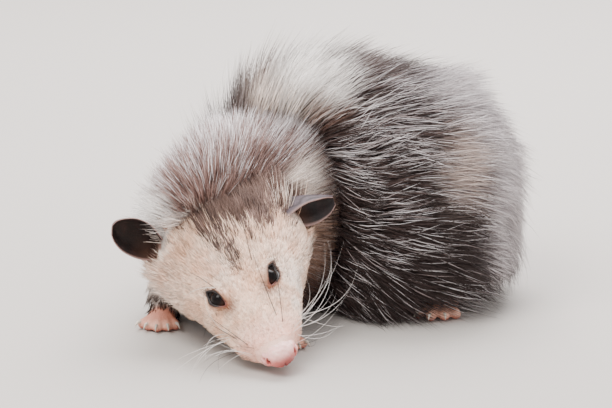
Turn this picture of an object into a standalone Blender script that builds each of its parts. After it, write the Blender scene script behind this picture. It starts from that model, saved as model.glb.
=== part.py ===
# A life-size Virginia opossum, crouched and curled to its left with its nose near the floor.
# Metres, +Z up. The animal's head is towards -Y and its rump towards +X.
import math
import random

import bmesh
import bpy
from mathutils import Matrix, Vector

# Fit between nodes: each cutter is its node made this much larger
GAP = 0.0004
FLOOR = 0.0

# Where the nose tip stands from the middle of the whole animal's footprint
NOSE_PLACE = Vector((-0.0292, -0.1355, 0.0125))

# Head: turn of the nose to the animal's left, nose down, left side up, in degrees
HEAD_YAW = 22.0
HEAD_PITCH = 20.0
HEAD_ROLL = 19.0

# Head sections behind the nose tip: back, shift to the left, centre height, half width, height
# above, depth below
HEAD_SECTIONS = (
    (0.0035, 0.0000, 0.0000, 0.0095, 0.0070, 0.0080),
    (0.0100, 0.0000, 0.0005, 0.0140, 0.0095, 0.0110),
    (0.0200, 0.0000, 0.0010, 0.0180, 0.0120, 0.0135),
    (0.0320, 0.0000, 0.0025, 0.0220, 0.0150, 0.0160),
    (0.0460, 0.0005, 0.0040, 0.0275, 0.0185, 0.0190),
    (0.0590, 0.0030, 0.0055, 0.0355, 0.0215, 0.0220),
    (0.0740, 0.0048, 0.0060, 0.0450, 0.0245, 0.0255),
    (0.0900, 0.0060, 0.0070, 0.0510, 0.0275, 0.0285),
    (0.1040, 0.0062, 0.0090, 0.0510, 0.0295, 0.0300),
    (0.1170, 0.0050, 0.0110, 0.0450, 0.0290, 0.0290),
    (0.1260, 0.0040, 0.0125, 0.0330, 0.0230, 0.0230),
    (0.1300, 0.0040, 0.0130, 0.0170, 0.0120, 0.0120),
)
HEAD_SIDES = 20
HEAD_SQUARENESS = 2.2

# Nose pad
NOSE_PAD_HALF = (0.0100, 0.0084, 0.0080)
NOSE_PAD_CENTRE = (0.0, 0.0044, 0.0003)
NOSE_WING_HALF = (0.0042, 0.0062, 0.0054)
NOSE_WING_CENTRE = (0.0078, 0.0075, -0.0002)
NOSTRIL_HALF = (0.0021, 0.0034, 0.0027)
NOSTRIL_CENTRE = (0.0074, -0.0002, 0.0002)
PHILTRUM_WIDTH = 0.0009
PHILTRUM_DEPTH = 0.0014

# Mouth line, from under the nose to the corner: back, height
MOUTH_LINE = (
    (0.0085, -0.0078),
    (0.0150, -0.0088),
    (0.0250, -0.0092),
    (0.0380, -0.0092),
    (0.0500, -0.0075),
    (0.0560, -0.0050),
)
MOUTH_GROOVE = 0.0010
LIP_RADIUS = 0.0019
LIP_SPREAD = 0.0021

# Eyes: place of the ball's centre and how far the lids open
EYE_BALL = 0.0066
EYE_BACK = 0.0480
EYE_SIDE = 0.0166
EYE_HEIGHT = 0.0176
EYE_LID = 0.0016
EYE_OPEN_LENGTH = 0.0142
EYE_OPEN_HEIGHT = 0.0084
EYE_SLANT = 12.0

# Ears, from the root in the head to the tip: upper rim, lower rim (each to the side, back and up from
# the floor point under the nose) and how deep the cup is between them, then the way it is deep
EARS = {
    "ear_right": {
        "rims": (
            ((-0.0676, 0.0770, 0.0587), (-0.0708, 0.0800, 0.0499), 0.0080),
            ((-0.0717, 0.0740, 0.0656), (-0.0767, 0.0780, 0.0510), 0.0105),
            ((-0.0775, 0.0710, 0.0744), (-0.0833, 0.0760, 0.0518), 0.0100),
            ((-0.0852, 0.0680, 0.0794), (-0.0898, 0.0730, 0.0547), 0.0085),
            ((-0.0923, 0.0660, 0.0803), (-0.0957, 0.0700, 0.0592), 0.0065),
            ((-0.0977, 0.0650, 0.0792), (-0.0998, 0.0680, 0.0649), 0.0045),
            ((-0.1007, 0.0650, 0.0764), (-0.1014, 0.0660, 0.0700), 0.0025),
        ),
        "deep": (-0.10, 0.97, 0.20),
    },
    "ear_left": {
        "rims": (
            ((0.0006, 0.0770, 0.0724), (0.0060, 0.0830, 0.0703), 0.0130),
            ((0.0039, 0.0790, 0.0768), (0.0109, 0.0870, 0.0700), 0.0170),
            ((0.0097, 0.0820, 0.0814), (0.0158, 0.0900, 0.0688), 0.0150),
            ((0.0157, 0.0850, 0.0846), (0.0212, 0.0920, 0.0698), 0.0115),
            ((0.0218, 0.0880, 0.0859), (0.0261, 0.0940, 0.0721), 0.0085),
            ((0.0272, 0.0910, 0.0865), (0.0303, 0.0950, 0.0756), 0.0055),
            ((0.0315, 0.0940, 0.0858), (0.0332, 0.0960, 0.0804), 0.0030),
        ),
        "deep": (-0.20, 0.72, 0.60),
    },
}
EAR_THICKNESS = 0.0012
EAR_WRAP = 72.0
EAR_ROWS = 8
EAR_COLUMNS = 7

# Trunk skin sections, from the nape backwards: side, back and height from the floor point under the
# nose, heading of the trunk in degrees, half width to the left and right, height above and depth below
NECK = {
    "sections": (
        (-0.0330, 0.0840, 0.0530, 108.0, 0.0340, 0.0410, 0.0330, 0.0300),
        (-0.0300, 0.1030, 0.0600, 98.0, 0.0400, 0.0430, 0.0440, 0.0430),
        (-0.0240, 0.1240, 0.0660, 88.0, 0.0430, 0.0420, 0.0460, 0.0570),
        (-0.0120, 0.1460, 0.0680, 76.0, 0.0420, 0.0420, 0.0440, 0.0580),
        (0.0020, 0.1640, 0.0680, 62.0, 0.0320, 0.0320, 0.0340, 0.0450),
    ),
    "depths": ((0.0, 0.012), (0.02, 0.016), (0.045, 0.019), (0.09, 0.020)),
    "start_dome": 0.0,
    "end_dome": 0.010,
    "low_squareness": 2.8,
}
BODY = {
    "sections": (
        (-0.0300, 0.1740, 0.0650, 10.0, 0.0140, 0.0240, 0.0320, 0.0340),
        (-0.0180, 0.1720, 0.0630, 9.0, 0.0190, 0.0390, 0.0570, 0.0520),
        (0.0010, 0.1700, 0.0610, 8.0, 0.0250, 0.0480, 0.0740, 0.0570),
        (0.0260, 0.1700, 0.0590, 6.0, 0.0380, 0.0550, 0.0830, 0.0560),
        (0.0480, 0.1710, 0.0580, 4.0, 0.0520, 0.0560, 0.0830, 0.0550),
        (0.0720, 0.1720, 0.0570, 3.0, 0.0550, 0.0570, 0.0800, 0.0530),
        (0.0970, 0.1720, 0.0600, 0.0, 0.0520, 0.0530, 0.0720, 0.0400),
        (0.1190, 0.1710, 0.0600, 0.0, 0.0430, 0.0430, 0.0600, 0.0370),
        (0.1330, 0.1700, 0.0600, 0.0, 0.0320, 0.0320, 0.0450, 0.0290),
    ),
    "depths": ((0.0, 0.021), (0.05, 0.024), (0.12, 0.026), (0.18, 0.023)),
    "start_dome": 0.012,
    "end_dome": 0.022,
    "low_squareness": 3.8,
}
TRUNK_SIDES = 16
TRUNK_STEP = 0.015
TRUNK_SAMPLES = 120
TRUNK_SQUARENESS = 2.15
BELLY_SHARE = 0.35
# Length along the body where the torso ends and the rump begins
TORSO_END = 0.105

# Coat. The core under the locks reaches this share of the coat's depth.
CORE_SHARE = 0.42
# Locks: length, width, thickness
LOCK_LONG = (0.058, 0.027, 0.0066)
LOCK_MIDDLE = (0.049, 0.025, 0.0060)
LOCK_SHORT = (0.038, 0.022, 0.0052)
# Along a lock: place, share of the width, share of the coat's depth it has reached
LOCK_PROFILE = ((0.0, 0.60, 0.05), (0.38, 1.00, 0.66), (0.72, 0.72, 0.90), (1.0, 0.0, 1.08))
LOCK_SPACING = 0.0295
LOCK_DROOP = 14.0
# Locks on top of the animal stand up by this further share of the coat's depth at the tip
LOCK_CREST = 0.16
RUMP_FLARE = 0.12
LOCK_TURN = 0.10
# A lock that turns more sharply than this cosine is left out
LOCK_SOFTEST = 0.35
LOCK_SEED = 11
# Rows of locks: length along the trunk, size, lowest angle on the left and on the right
NECK_ROWS = (
    (0.010, LOCK_SHORT, -50.0, 230.0),
    (0.032, LOCK_MIDDLE, -50.0, 230.0),
    (0.054, LOCK_MIDDLE, -48.0, 228.0),
    (0.076, LOCK_MIDDLE, -44.0, 224.0),
)
TORSO_ROWS = (
    (-0.004, LOCK_SHORT, -20.0, 215.0),
    (0.019, LOCK_MIDDLE, -30.0, 215.0),
    (0.044, LOCK_LONG, -52.0, 222.0),
    (0.070, LOCK_LONG, -54.0, 222.0),
    (0.094, LOCK_LONG, -54.0, 222.0),
)
RUMP_ROWS = (
    (0.113, LOCK_LONG, -50.0, 225.0),
    (0.138, LOCK_LONG, -55.0, 230.0),
    (0.162, LOCK_MIDDLE, -80.0, 258.0),
)
COAT_FLOOR = 0.002

# Tail: side, back from the nose's floor point, height and radius
TAIL_POINTS = (
    (0.1220, 0.1820, 0.0500, 0.0120),
    (0.1300, 0.2060, 0.0330, 0.0108),
    (0.1240, 0.2320, 0.0150, 0.0098),
    (0.1000, 0.2520, 0.0088, 0.0090),
    (0.0650, 0.2640, 0.0080, 0.0082),
    (0.0250, 0.2670, 0.0070, 0.0072),
    (-0.0120, 0.2590, 0.0060, 0.0062),
    (-0.0420, 0.2420, 0.0049, 0.0051),
    (-0.0620, 0.2180, 0.0035, 0.0037),
    (-0.0720, 0.1960, 0.0020, 0.0022),
)
TAIL_LENGTH = 0.30
TAIL_SIDES = 10
TAIL_STEPS = 10
TAIL_NAMES = ("tail_base", "tail_middle", "tail_tip")

# Legs: side, back from the nose's floor point, height and radius, from the body down to the paw
LEGS = {
    "foreleg_right": {
        "bones": (
            (-0.0540, 0.1350, 0.0560, 0.0170),
            (-0.0660, 0.1410, 0.0330, 0.0145),
            (-0.0710, 0.1290, 0.0150, 0.0105),
            (-0.0720, 0.1170, 0.0090, 0.0085),
        ),
        "palm": ((-0.0725, 0.1130, 0.0052), (0.0090, 0.0110, 0.0060)),
        "toes_way": -98.0,
        "toe_length": 0.015,
        "toe_fan": 66.0,
        "toe_radius": 0.0034,
    },
    "foreleg_left": {
        "bones": (
            (-0.0020, 0.1260, 0.0340, 0.0140),
            (-0.0010, 0.1120, 0.0210, 0.0120),
            (-0.0010, 0.0930, 0.0130, 0.0100),
            (0.0000, 0.0790, 0.0090, 0.0085),
        ),
        "palm": ((0.0010, 0.0720, 0.0052), (0.0090, 0.0110, 0.0060)),
        "toes_way": -82.0,
        "toe_length": 0.015,
        "toe_fan": 66.0,
        "toe_radius": 0.0034,
    },
    "hindleg_left": {
        "bones": (
            (0.0900, 0.1560, 0.0480, 0.0190),
            (0.1000, 0.1500, 0.0320, 0.0160),
            (0.1090, 0.1660, 0.0160, 0.0110),
            (0.1060, 0.1570, 0.0085, 0.0080),
            (0.1020, 0.1470, 0.0075, 0.0080),
        ),
        "palm": ((0.0990, 0.1420, 0.0054), (0.0125, 0.0170, 0.0062)),
        "toes_way": -104.0,
        "toe_length": 0.019,
        "toe_fan": 70.0,
        "toe_radius": 0.0036,
    },
    "hindleg_right": {
        "bones": (
            (0.0800, 0.2080, 0.0480, 0.0190),
            (0.0700, 0.2200, 0.0300, 0.0160),
            (0.0960, 0.2250, 0.0160, 0.0110),
            (0.0870, 0.2260, 0.0085, 0.0080),
            (0.0760, 0.2270, 0.0075, 0.0080),
        ),
        "palm": ((0.0700, 0.2280, 0.0054), (0.0125, 0.0170, 0.0062)),
        "toes_way": -186.0,
        "toe_length": 0.019,
        "toe_fan": 70.0,
        "toe_radius": 0.0036,
    },
}
LEG_SIDES = 6
TOE_COUNT = 5
TOE_SIDES = 5

COLOURS = {
    "coat": ((0.20, 0.17, 0.16), 0.85),
    "face": ((0.80, 0.74, 0.66), 0.85),
    "ear": ((0.035, 0.028, 0.030), 0.60),
    "nose": ((0.85, 0.52, 0.48), 0.45),
    "eye": ((0.008, 0.006, 0.006), 0.08),
    "paw": ((0.72, 0.45, 0.38), 0.60),
    "tail": ((0.55, 0.45, 0.42), 0.65),
}


def clear_scene():
    for obj in list(bpy.data.objects):
        bpy.data.objects.remove(obj, do_unlink=True)


def new_collection(name):
    collection = bpy.data.collections.new(name)
    bpy.context.scene.collection.children.link(collection)
    return collection


def material(kind):
    """One Principled material for each kind of surface."""
    if kind in bpy.data.materials:
        return bpy.data.materials[kind]
    colour, roughness = COLOURS[kind]
    made = bpy.data.materials.new(kind)
    made.use_nodes = True
    shader = made.node_tree.nodes["Principled BSDF"]
    shader.inputs["Base Color"].default_value = (*colour, 1.0)
    shader.inputs["Roughness"].default_value = roughness
    shader.inputs["Metallic"].default_value = 0.0
    made.diffuse_color = (*colour, 1.0)
    return made


def mesh_object(name, mesh, collection):
    obj = bpy.data.objects.new(name, mesh)
    collection.objects.link(obj)
    return obj


def object_from(name, points, faces, collection):
    """A mesh object with its faces turned outwards."""
    mesh = bpy.data.meshes.new(name)
    mesh.from_pydata([tuple(p) for p in points], [], faces)
    work = bmesh.new()
    work.from_mesh(mesh)
    bmesh.ops.recalc_face_normals(work, faces=work.faces)
    work.to_mesh(mesh)
    work.free()
    return mesh_object(name, mesh, collection)


def bake_modifiers(obj):
    """Replaces the object's mesh by the one its modifiers make."""
    graph = bpy.context.evaluated_depsgraph_get()
    obj.data = bpy.data.meshes.new_from_object(obj.evaluated_get(graph))
    obj.modifiers.clear()


def remove(obj):
    bpy.data.objects.remove(obj, do_unlink=True)


def keep_largest(obj):
    """Keeps the object's largest closed surface."""
    work = bmesh.new()
    work.from_mesh(obj.data)
    unseen = set(work.verts)
    islands = []
    while unseen:
        stack = [unseen.pop()]
        island = []
        while stack:
            vert = stack.pop()
            island.append(vert)
            for edge in vert.link_edges:
                other = edge.other_vert(vert)
                if other in unseen:
                    unseen.remove(other)
                    stack.append(other)
        islands.append(island)
    islands.sort(key=len)
    for island in islands[:-1]:
        bmesh.ops.delete(work, geom=island, context="VERTS")
    work.to_mesh(obj.data)
    work.free()


def cut(obj, cutter):
    """Cuts the cutter out of the object."""
    boolean = obj.modifiers.new("cut", "BOOLEAN")
    boolean.operation = "DIFFERENCE"
    boolean.solver = "MANIFOLD"
    boolean.object = cutter
    bake_modifiers(obj)


def join(obj, pieces):
    """One union of the object with the pieces, which are then removed."""
    joined = bpy.data.collections.new(obj.name + "_pieces")
    for piece in pieces:
        joined.objects.link(piece)
    boolean = obj.modifiers.new("join", "BOOLEAN")
    boolean.operation = "UNION"
    boolean.solver = "MANIFOLD"
    boolean.operand_type = "COLLECTION"
    boolean.collection = joined
    bake_modifiers(obj)
    for piece in pieces:
        remove(piece)
    bpy.data.collections.remove(joined)


def smooth(values, along):
    """A Catmull-Rom curve through rows of numbers, at a place from 0 to the last row."""
    last = len(values) - 1
    index = min(int(along), last - 1)
    t = along - index
    rows = [values[max(0, min(last, index + k))] for k in (-1, 0, 1, 2)]
    found = []
    for a, b, c, d in zip(*rows):
        found.append(
            0.5
            * (2 * b + (c - a) * t + (2 * a - 5 * b + 4 * c - d) * t * t + (3 * b - a - 3 * c + d) * t**3)
        )
    return found


def between(table, at):
    """Straight-line reading of a table of (place, value)."""
    for (a, first), (b, second) in zip(table, table[1:]):
        if at <= b:
            return first + (second - first) * max(0.0, at - a) / (b - a)
    return table[-1][1]


def power(value, exponent):
    return math.copysign(abs(value) ** exponent, value)


def loft(name, rings, collection, sides):
    """A closed body through rings of points, with a point or a flat cap at each end."""
    points = []
    for ring in rings:
        points.extend(ring)
    faces = []
    for row in range(len(rings) - 1):
        for k in range(sides):
            a = row * sides + k
            b = row * sides + (k + 1) % sides
            faces.extend(((a, b, b + sides), (a, b + sides, a + sides)))
    first_cap = list(range(sides))
    last_cap = list(range((len(rings) - 1) * sides, len(rings) * sides))
    for cap in (first_cap, last_cap):
        centre = sum((Vector(points[k]) for k in cap), Vector()) / sides
        points.append(centre)
        for k in range(sides):
            faces.append((cap[k], cap[(k + 1) % sides], len(points) - 1))
    return object_from(name, points, faces, collection)


def tube(name, nodes, steps, sides, collection, start=0.0, end=1.0, round_ends=(True, True)):
    """A round limb through nodes of (x, y, z, radius), with rounded ends unless told otherwise."""
    last = len(nodes) - 1
    places = [last * (start + (end - start) * k / steps) for k in range(steps + 1)]
    stations = [smooth(nodes, place) for place in places]
    centres = [Vector(s[:3]) for s in stations]
    radii = [s[3] for s in stations]
    ways = []
    for k in range(len(places)):
        before = Vector(smooth(nodes, max(0.0, places[k] - 0.02))[:3])
        after = Vector(smooth(nodes, min(last, places[k] + 0.02))[:3])
        ways.append((after - before).normalized())
    for end_index, sign, is_round in ((0, -1, round_ends[0]), (-1, 1, round_ends[1])):
        centre, radius, way = centres[end_index], radii[end_index], ways[end_index]
        for share in (0.6, 0.92) if is_round else ():
            where = 0 if sign < 0 else len(centres)
            centres.insert(where, centre + way * sign * radius * share)
            radii.insert(where, radius * math.sqrt(1 - share * share))
            ways.insert(where, way)
    side = ways[0].orthogonal().normalized()
    rings = []
    for centre, radius, way in zip(centres, radii, ways):
        side = (side - way * side.dot(way)).normalized()
        up = way.cross(side)
        rings.append(
            [
                centre + (side * math.cos(a) + up * math.sin(a)) * radius
                for a in (2 * math.pi * k / sides for k in range(sides))
            ]
        )
    return loft(name, rings, collection, sides)


def ball(name, centre, halves, collection, across=14, rows=8):
    """An ellipsoid with the given half sizes."""
    work = bmesh.new()
    bmesh.ops.create_uvsphere(work, u_segments=across, v_segments=rows, radius=1.0)
    bmesh.ops.scale(work, vec=Vector(halves), verts=work.verts)
    bmesh.ops.translate(work, vec=Vector(centre), verts=work.verts)
    mesh = bpy.data.meshes.new(name)
    work.to_mesh(mesh)
    work.free()
    return mesh_object(name, mesh, collection)


def block(name, low, high, collection):
    """A box between two corners."""
    work = bmesh.new()
    bmesh.ops.create_cube(work, size=1.0)
    low, high = Vector(low), Vector(high)
    bmesh.ops.scale(work, vec=high - low, verts=work.verts)
    bmesh.ops.translate(work, vec=(low + high) / 2, verts=work.verts)
    mesh = bpy.data.meshes.new(name)
    work.to_mesh(mesh)
    work.free()
    return mesh_object(name, mesh, collection)


def stand_on_floor(obj, level=FLOOR):
    """Cuts away what would reach under the floor, which leaves small flats to rest on."""
    cut(obj, block("under_floor", (-0.5, -0.5, level - 0.2), (0.5, 0.5, level), CUTTERS))


def from_nose(side, back, height):
    """A point given from the floor point under the nose, in the animal's frame."""
    return Vector((NOSE_PLACE.x + side, NOSE_PLACE.y + back, height))


def placed(nodes):
    return [(*from_nose(*node[:3]), *node[3:]) for node in nodes]


# Head

def head_matrix():
    turn = Matrix.Rotation(math.radians(HEAD_YAW), 4, "Z")
    nod = Matrix.Rotation(math.radians(HEAD_PITCH), 4, "X")
    lean = Matrix.Rotation(math.radians(-HEAD_ROLL), 4, "Y")
    return Matrix.Translation(NOSE_PLACE) @ turn @ nod @ lean


def head_section(back):
    """Shift, centre height, half width, height above and depth below at a distance behind the nose."""
    rows = [section[0] for section in HEAD_SECTIONS]
    for k in range(len(rows) - 1):
        if back <= rows[k + 1]:
            break
    place = k + (back - rows[k]) / (rows[k + 1] - rows[k])
    return smooth(HEAD_SECTIONS, max(0.0, place))[1:]


def head_side_at(back, height):
    """How far to the side the head's surface lies at a place behind the nose and a height."""
    shift, centre, half_width, above, below = head_section(back)
    reach = above if height > centre else below
    share = min(0.98, abs(height - centre) / reach)
    return half_width * (1 - share**HEAD_SQUARENESS) ** (1 / HEAD_SQUARENESS) - shift


def head_ring(back, grow):
    shift, centre, half_width, above, below = head_section(back)
    ring = []
    for k in range(HEAD_SIDES):
        angle = 2 * math.pi * k / HEAD_SIDES
        side = (half_width + grow) * power(math.cos(angle), 2 / HEAD_SQUARENESS)
        reach = (above if math.sin(angle) > 0 else below) + grow
        rise = reach * power(math.sin(angle), 2 / HEAD_SQUARENESS)
        ring.append(Vector((shift + side, back, centre + rise)))
    return ring


def head_form(name, collection, grow=0.0):
    backs = [HEAD_SECTIONS[0][0]]
    for a, b in zip(HEAD_SECTIONS, HEAD_SECTIONS[1:]):
        backs.extend(((a[0] + b[0]) / 2, b[0]) if b[0] - a[0] > 0.0135 else (b[0],))
    rings = [head_ring(back, grow) for back in backs]
    rings[-1] = [point + Vector((0, grow, 0)) for point in rings[-1]]
    return loft(name, rings, collection, HEAD_SIDES)


def make_head(collection):
    head = head_form("head", collection)
    add_lips(head)
    for side in (-1, 1):
        open_eye(head, side)
    head.data.transform(head_matrix())
    return head


def mouth_path(spread, radius, inward=0.0):
    """The mouth line round both sides and the front, moved up or down by spread."""
    right = []
    for back, height in MOUTH_LINE:
        height = height + spread
        side = head_side_at(back, height) - inward
        right.append((-side, back, height, radius))
    left = [(-side, back, height, size) for side, back, height, size in reversed(right)]
    front_back = MOUTH_LINE[0][0] - 0.0028 + inward
    return right[::-1] + [(0.0, front_back, MOUTH_LINE[0][1] + spread, radius)] + left[::-1]


def add_lips(head):
    lips = []
    for name, spread in (("upper_lip", LIP_SPREAD), ("lower_lip", -LIP_SPREAD)):
        path = mouth_path(spread, LIP_RADIUS, inward=0.0010)
        lips.append(tube(name, path, 12, 5, CUTTERS, round_ends=(False, False)))
    join(head, lips)
    cut(head, tube("mouth", mouth_path(0.0, MOUTH_GROOVE), 12, 4, CUTTERS, round_ends=(False, False)))


def eye_frame(side):
    """The eye's axes: out of the head, along the opening and across it, with its centre."""
    centre = Vector((side * EYE_SIDE, EYE_BACK, EYE_HEIGHT))
    out = Vector((side * 0.62, -0.38, 0.69)).normalized()
    along = Vector((0.0, -1.0, 0.0))
    along = (along - out * along.dot(out)).normalized()
    slant = Matrix.Rotation(math.radians(-side * EYE_SLANT), 3, out)
    along = slant @ along
    across = out.cross(along)
    frame = Matrix((along, across, out)).transposed().to_4x4()
    return Matrix.Translation(centre) @ frame


def open_eye(head, side):
    """Lids standing a little off the skin, with an almond opening over the ball."""
    frame = eye_frame(side)
    lid = ball("lid", (0, 0, 0), (EYE_BALL + EYE_LID,) * 3, CUTTERS, 12, 6)
    lid.data.transform(frame)
    join(head, [lid])
    socket = ball("socket", (0, 0, 0), (EYE_BALL + GAP,) * 3, CUTTERS, 12, 6)
    socket.data.transform(frame)
    cut(head, socket)
    half_length, half_height = EYE_OPEN_LENGTH / 2, EYE_OPEN_HEIGHT / 2
    radius = (half_length**2 + half_height**2) / (2 * half_height)
    reach = math.asin(half_length / radius)
    rim = []
    for sign in (1, -1):
        for k in range(5):
            angle = reach * (1 - 2 * k / 5) * sign
            rim.append((radius * math.sin(angle), sign * (radius * math.cos(angle) - radius + half_height)))
    rings = [[Vector((x, y, z)) for x, y in rim] for z in (EYE_BALL * 0.2, EYE_BALL * 2.4)]
    opening = loft("opening", rings, CUTTERS, len(rim))
    opening.data.transform(frame)
    cut(head, opening)


def make_eye(name, side, collection):
    eye = ball(name, (0, 0, 0), (EYE_BALL,) * 3, collection, 12, 6)
    eye.data.transform(head_matrix() @ eye_frame(side))
    return eye


def nose_form(name, collection, grow=0.0):
    nose = ball(name, NOSE_PAD_CENTRE, [half + grow for half in NOSE_PAD_HALF], collection, 12, 7)
    wings = []
    for side in (-1, 1):
        x, y, z = NOSE_WING_CENTRE
        halves = [half + grow for half in NOSE_WING_HALF]
        wings.append(ball("wing", (side * x, y, z), halves, CUTTERS, 10, 6))
    join(nose, wings)
    return nose


def make_nose(collection):
    nose = nose_form("nose", collection)
    for side in (-1, 1):
        x, y, z = NOSTRIL_CENTRE
        cut(nose, ball("nostril", (side * x, y, z), NOSTRIL_HALF, CUTTERS, 8, 5))
    front = NOSE_PAD_CENTRE[1] - NOSE_PAD_HALF[1]
    low = (-PHILTRUM_WIDTH / 2, front - 0.002, -0.02)
    high = (PHILTRUM_WIDTH / 2, front + PHILTRUM_DEPTH, -0.0015)
    cut(nose, block("philtrum", low, high, CUTTERS))
    nose.data.transform(head_matrix())
    return nose


def ear_rows(ear):
    """Rows of an ear from root to tip: middle, half way across, way deep and depth of the cup."""
    deep = Vector(ear["deep"]).normalized()
    rows = [(*upper, *lower, depth) for upper, lower, depth in ear["rims"]]
    found = []
    for row in range(EAR_ROWS + 1):
        station = smooth(rows, (len(rows) - 1) * row / EAR_ROWS)
        upper, lower = from_nose(*station[:3]), from_nose(*station[3:6])
        found.append(((upper + lower) / 2, (lower - upper) / 2, deep, station[6]))
    return found


def cup_arc(middle, half, deep, depth):
    wrap = math.radians(EAR_WRAP)
    arc = []
    for column in range(EAR_COLUMNS + 1):
        turn = wrap * (2 * column / EAR_COLUMNS - 1)
        sink = depth * (math.cos(turn) - math.cos(wrap)) / (1 - math.cos(wrap))
        arc.append(middle + half * (math.sin(turn) / math.sin(wrap)) + deep * sink)
    return arc


def make_ear(name, ear, collection):
    """A thin cupped leaf hung between its two rims."""
    points = []
    for row in ear_rows(ear):
        points.extend(cup_arc(*row))
    faces = []
    wide = EAR_COLUMNS + 1
    for row in range(EAR_ROWS):
        for column in range(EAR_COLUMNS):
            a = row * wide + column
            faces.append((a, a + 1, a + 1 + wide, a + wide))
    ear_object = object_from(name, points, faces, collection)
    shell = ear_object.modifiers.new("shell", "SOLIDIFY")
    shell.thickness = EAR_THICKNESS
    shell.offset = 0.0
    shell.use_even_offset = False
    bake_modifiers(ear_object)
    return ear_object


def ear_cutter(ear):
    """The whole of an ear with its cup filled, so that no fur stands in it."""
    room = EAR_THICKNESS / 2 + GAP
    rings = []
    for middle, half, deep, depth in ear_rows(ear):
        wider = half * (1 + 1.5 * room / half.length)
        back = [point + deep * room for point in cup_arc(middle, wider, deep, depth)]
        rings.append(back + [middle + wider - deep * room, middle - wider - deep * room])
    return loft("ear_cutter", rings, CUTTERS, EAR_COLUMNS + 3)


# Trunk

def trunk_line(trunk):
    """Samples along a trunk: length, centre, way, side and the four half sizes."""
    last = len(trunk["sections"]) - 1
    line = []
    length = 0.0
    before = None
    for k in range(TRUNK_SAMPLES + 1):
        row = smooth(trunk["sections"], last * k / TRUNK_SAMPLES)
        centre = from_nose(*row[:3])
        heading = math.radians(row[3])
        way = Vector((math.cos(heading), math.sin(heading), 0.0))
        side = way.cross(Vector((0, 0, 1)))
        length += (centre - before).length if before else 0.0
        before = centre
        line.append((length, centre, way, side, *row[4:]))
    return line


def trunk_at(trunk, length):
    """Centre, way, side and the four half sizes at a length along a trunk."""
    line = trunk["line"]
    for first, second in zip(line, line[1:]):
        if length <= second[0]:
            break
    share = (length - first[0]) / (second[0] - first[0])
    return [a + (b - a) * share for a, b in zip(first[1:], second[1:])]


def coat_depth(trunk, length, angle):
    """Depth of the coat at a length along a trunk and an angle round it, thin under the belly."""
    depth = between(trunk["depths"], length)
    under = max(0.0, -math.sin(angle) - 0.25) / 0.75
    return depth * (1 - (1 - BELLY_SHARE) * under)


def trunk_point(trunk, length, angle, coat, grow=0.0):
    """A point on a trunk at an angle from its left side, out from the skin by a share of the coat."""
    end = trunk["line"][-1][0]
    past, dome = 0.0, 1.0
    if length < 0.0:
        past, dome = length, -trunk["start_dome"]
    elif length > end:
        past, dome = length - end, trunk["end_dome"]
    dome = dome * (0.35 + 0.65 * coat) + math.copysign(grow, dome)
    share = 1 - math.exp(-past / dome)
    centre, way, side, left, right, above, below = trunk_at(trunk, min(max(length, 0.0), end))
    extra = coat * coat_depth(trunk, length, angle) + grow
    shrink = math.sqrt(1 - share * share)
    half_width = left if math.cos(angle) > 0 else right
    half_height, squareness = above, TRUNK_SQUARENESS
    if math.sin(angle) < 0:
        half_height, squareness = below, trunk["low_squareness"]
    across = (half_width + extra) * power(math.cos(angle), 2 / squareness) * shrink
    rise = (half_height + extra) * power(math.sin(angle), 2 / squareness) * shrink
    return centre + way * dome * share + side * across + Vector((0, 0, rise))


def trunk_body(name, trunk, start, end, coat, collection, grow=0.0):
    """A stretch of a trunk between two lengths, domed where it reaches past an end."""
    whole = trunk["line"][-1][0]
    steps = max(3, round((min(end, whole) - max(start, 0.0)) / TRUNK_STEP))
    first, last = max(start, 0.0), min(end, whole)
    lengths = [first + (last - first) * k / steps for k in range(steps + 1)]
    if start < 0.0:
        lengths = [-trunk["start_dome"] * (0.35 + 0.65 * coat) * share for share in (2.6, 1.3, 0.5)] + lengths
    if end > whole:
        lengths = lengths + [whole + trunk["end_dome"] * (0.35 + 0.65 * coat) * share for share in (0.5, 1.3, 2.6)]
    rings = []
    for length in lengths:
        turns = (2 * math.pi * k / TRUNK_SIDES for k in range(TRUNK_SIDES))
        rings.append([trunk_point(trunk, length, turn, coat, grow) for turn in turns])
    return loft(name, rings, collection, TRUNK_SIDES)


# Coat

def lifted(point, bodies, clear):
    """The point moved out of the bodies it would sink into, and the way out there."""
    out = None
    for body in bodies:
        found, place, normal, _ = body.closest_point_on_mesh(point)
        if found and (point - place).dot(normal) < clear:
            point = place + normal * clear
            out = normal
    return point, out


def lock_path(trunk, start, angle, size, bodies, chance):
    """Centres of a lock from root to tip, each with the way out of the body there."""
    length = size[0] * chance.uniform(0.88, 1.12)
    turn = chance.uniform(-LOCK_TURN, LOCK_TURN)
    droop = -math.radians(LOCK_DROOP) * math.cos(angle) * size[0] / LOCK_LONG[0]
    height = chance.uniform(0.92, 1.10)
    path = []
    for place, _, coat in LOCK_PROFILE:
        reach = start + length * place
        around = angle + (droop + turn) * place * place
        crest = LOCK_CREST * place * max(0.0, math.sin(angle)) ** 4
        share = coat * (height if place else 1.0) + crest
        point = trunk_point(trunk, reach, around, share)
        past = max(0.0, reach - trunk["line"][-1][0])
        point = point + trunk["line"][-1][2] * past * RUMP_FLARE * place
        out = (point - trunk_point(trunk, reach, around, share - 0.4)).normalized()
        if place:
            point, lifted_out = lifted(point, bodies, size[2] * 0.5 + 0.002 * place)
            out = lifted_out or out
            point.z = max(point.z, COAT_FLOOR + size[2] * 0.6)
        path.append((point, out))
    return path


def bends_softly(path):
    """Whether a lock's centre line and its way out turn gently enough for a clean body."""
    ways = [(b[0] - a[0]).normalized() for a, b in zip(path, path[1:])]
    soft = all(a.dot(b) > LOCK_SOFTEST for a, b in zip(ways, ways[1:]))
    return soft and all(a[1].dot(b[1]) > LOCK_SOFTEST for a, b in zip(path, path[1:]))


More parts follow.
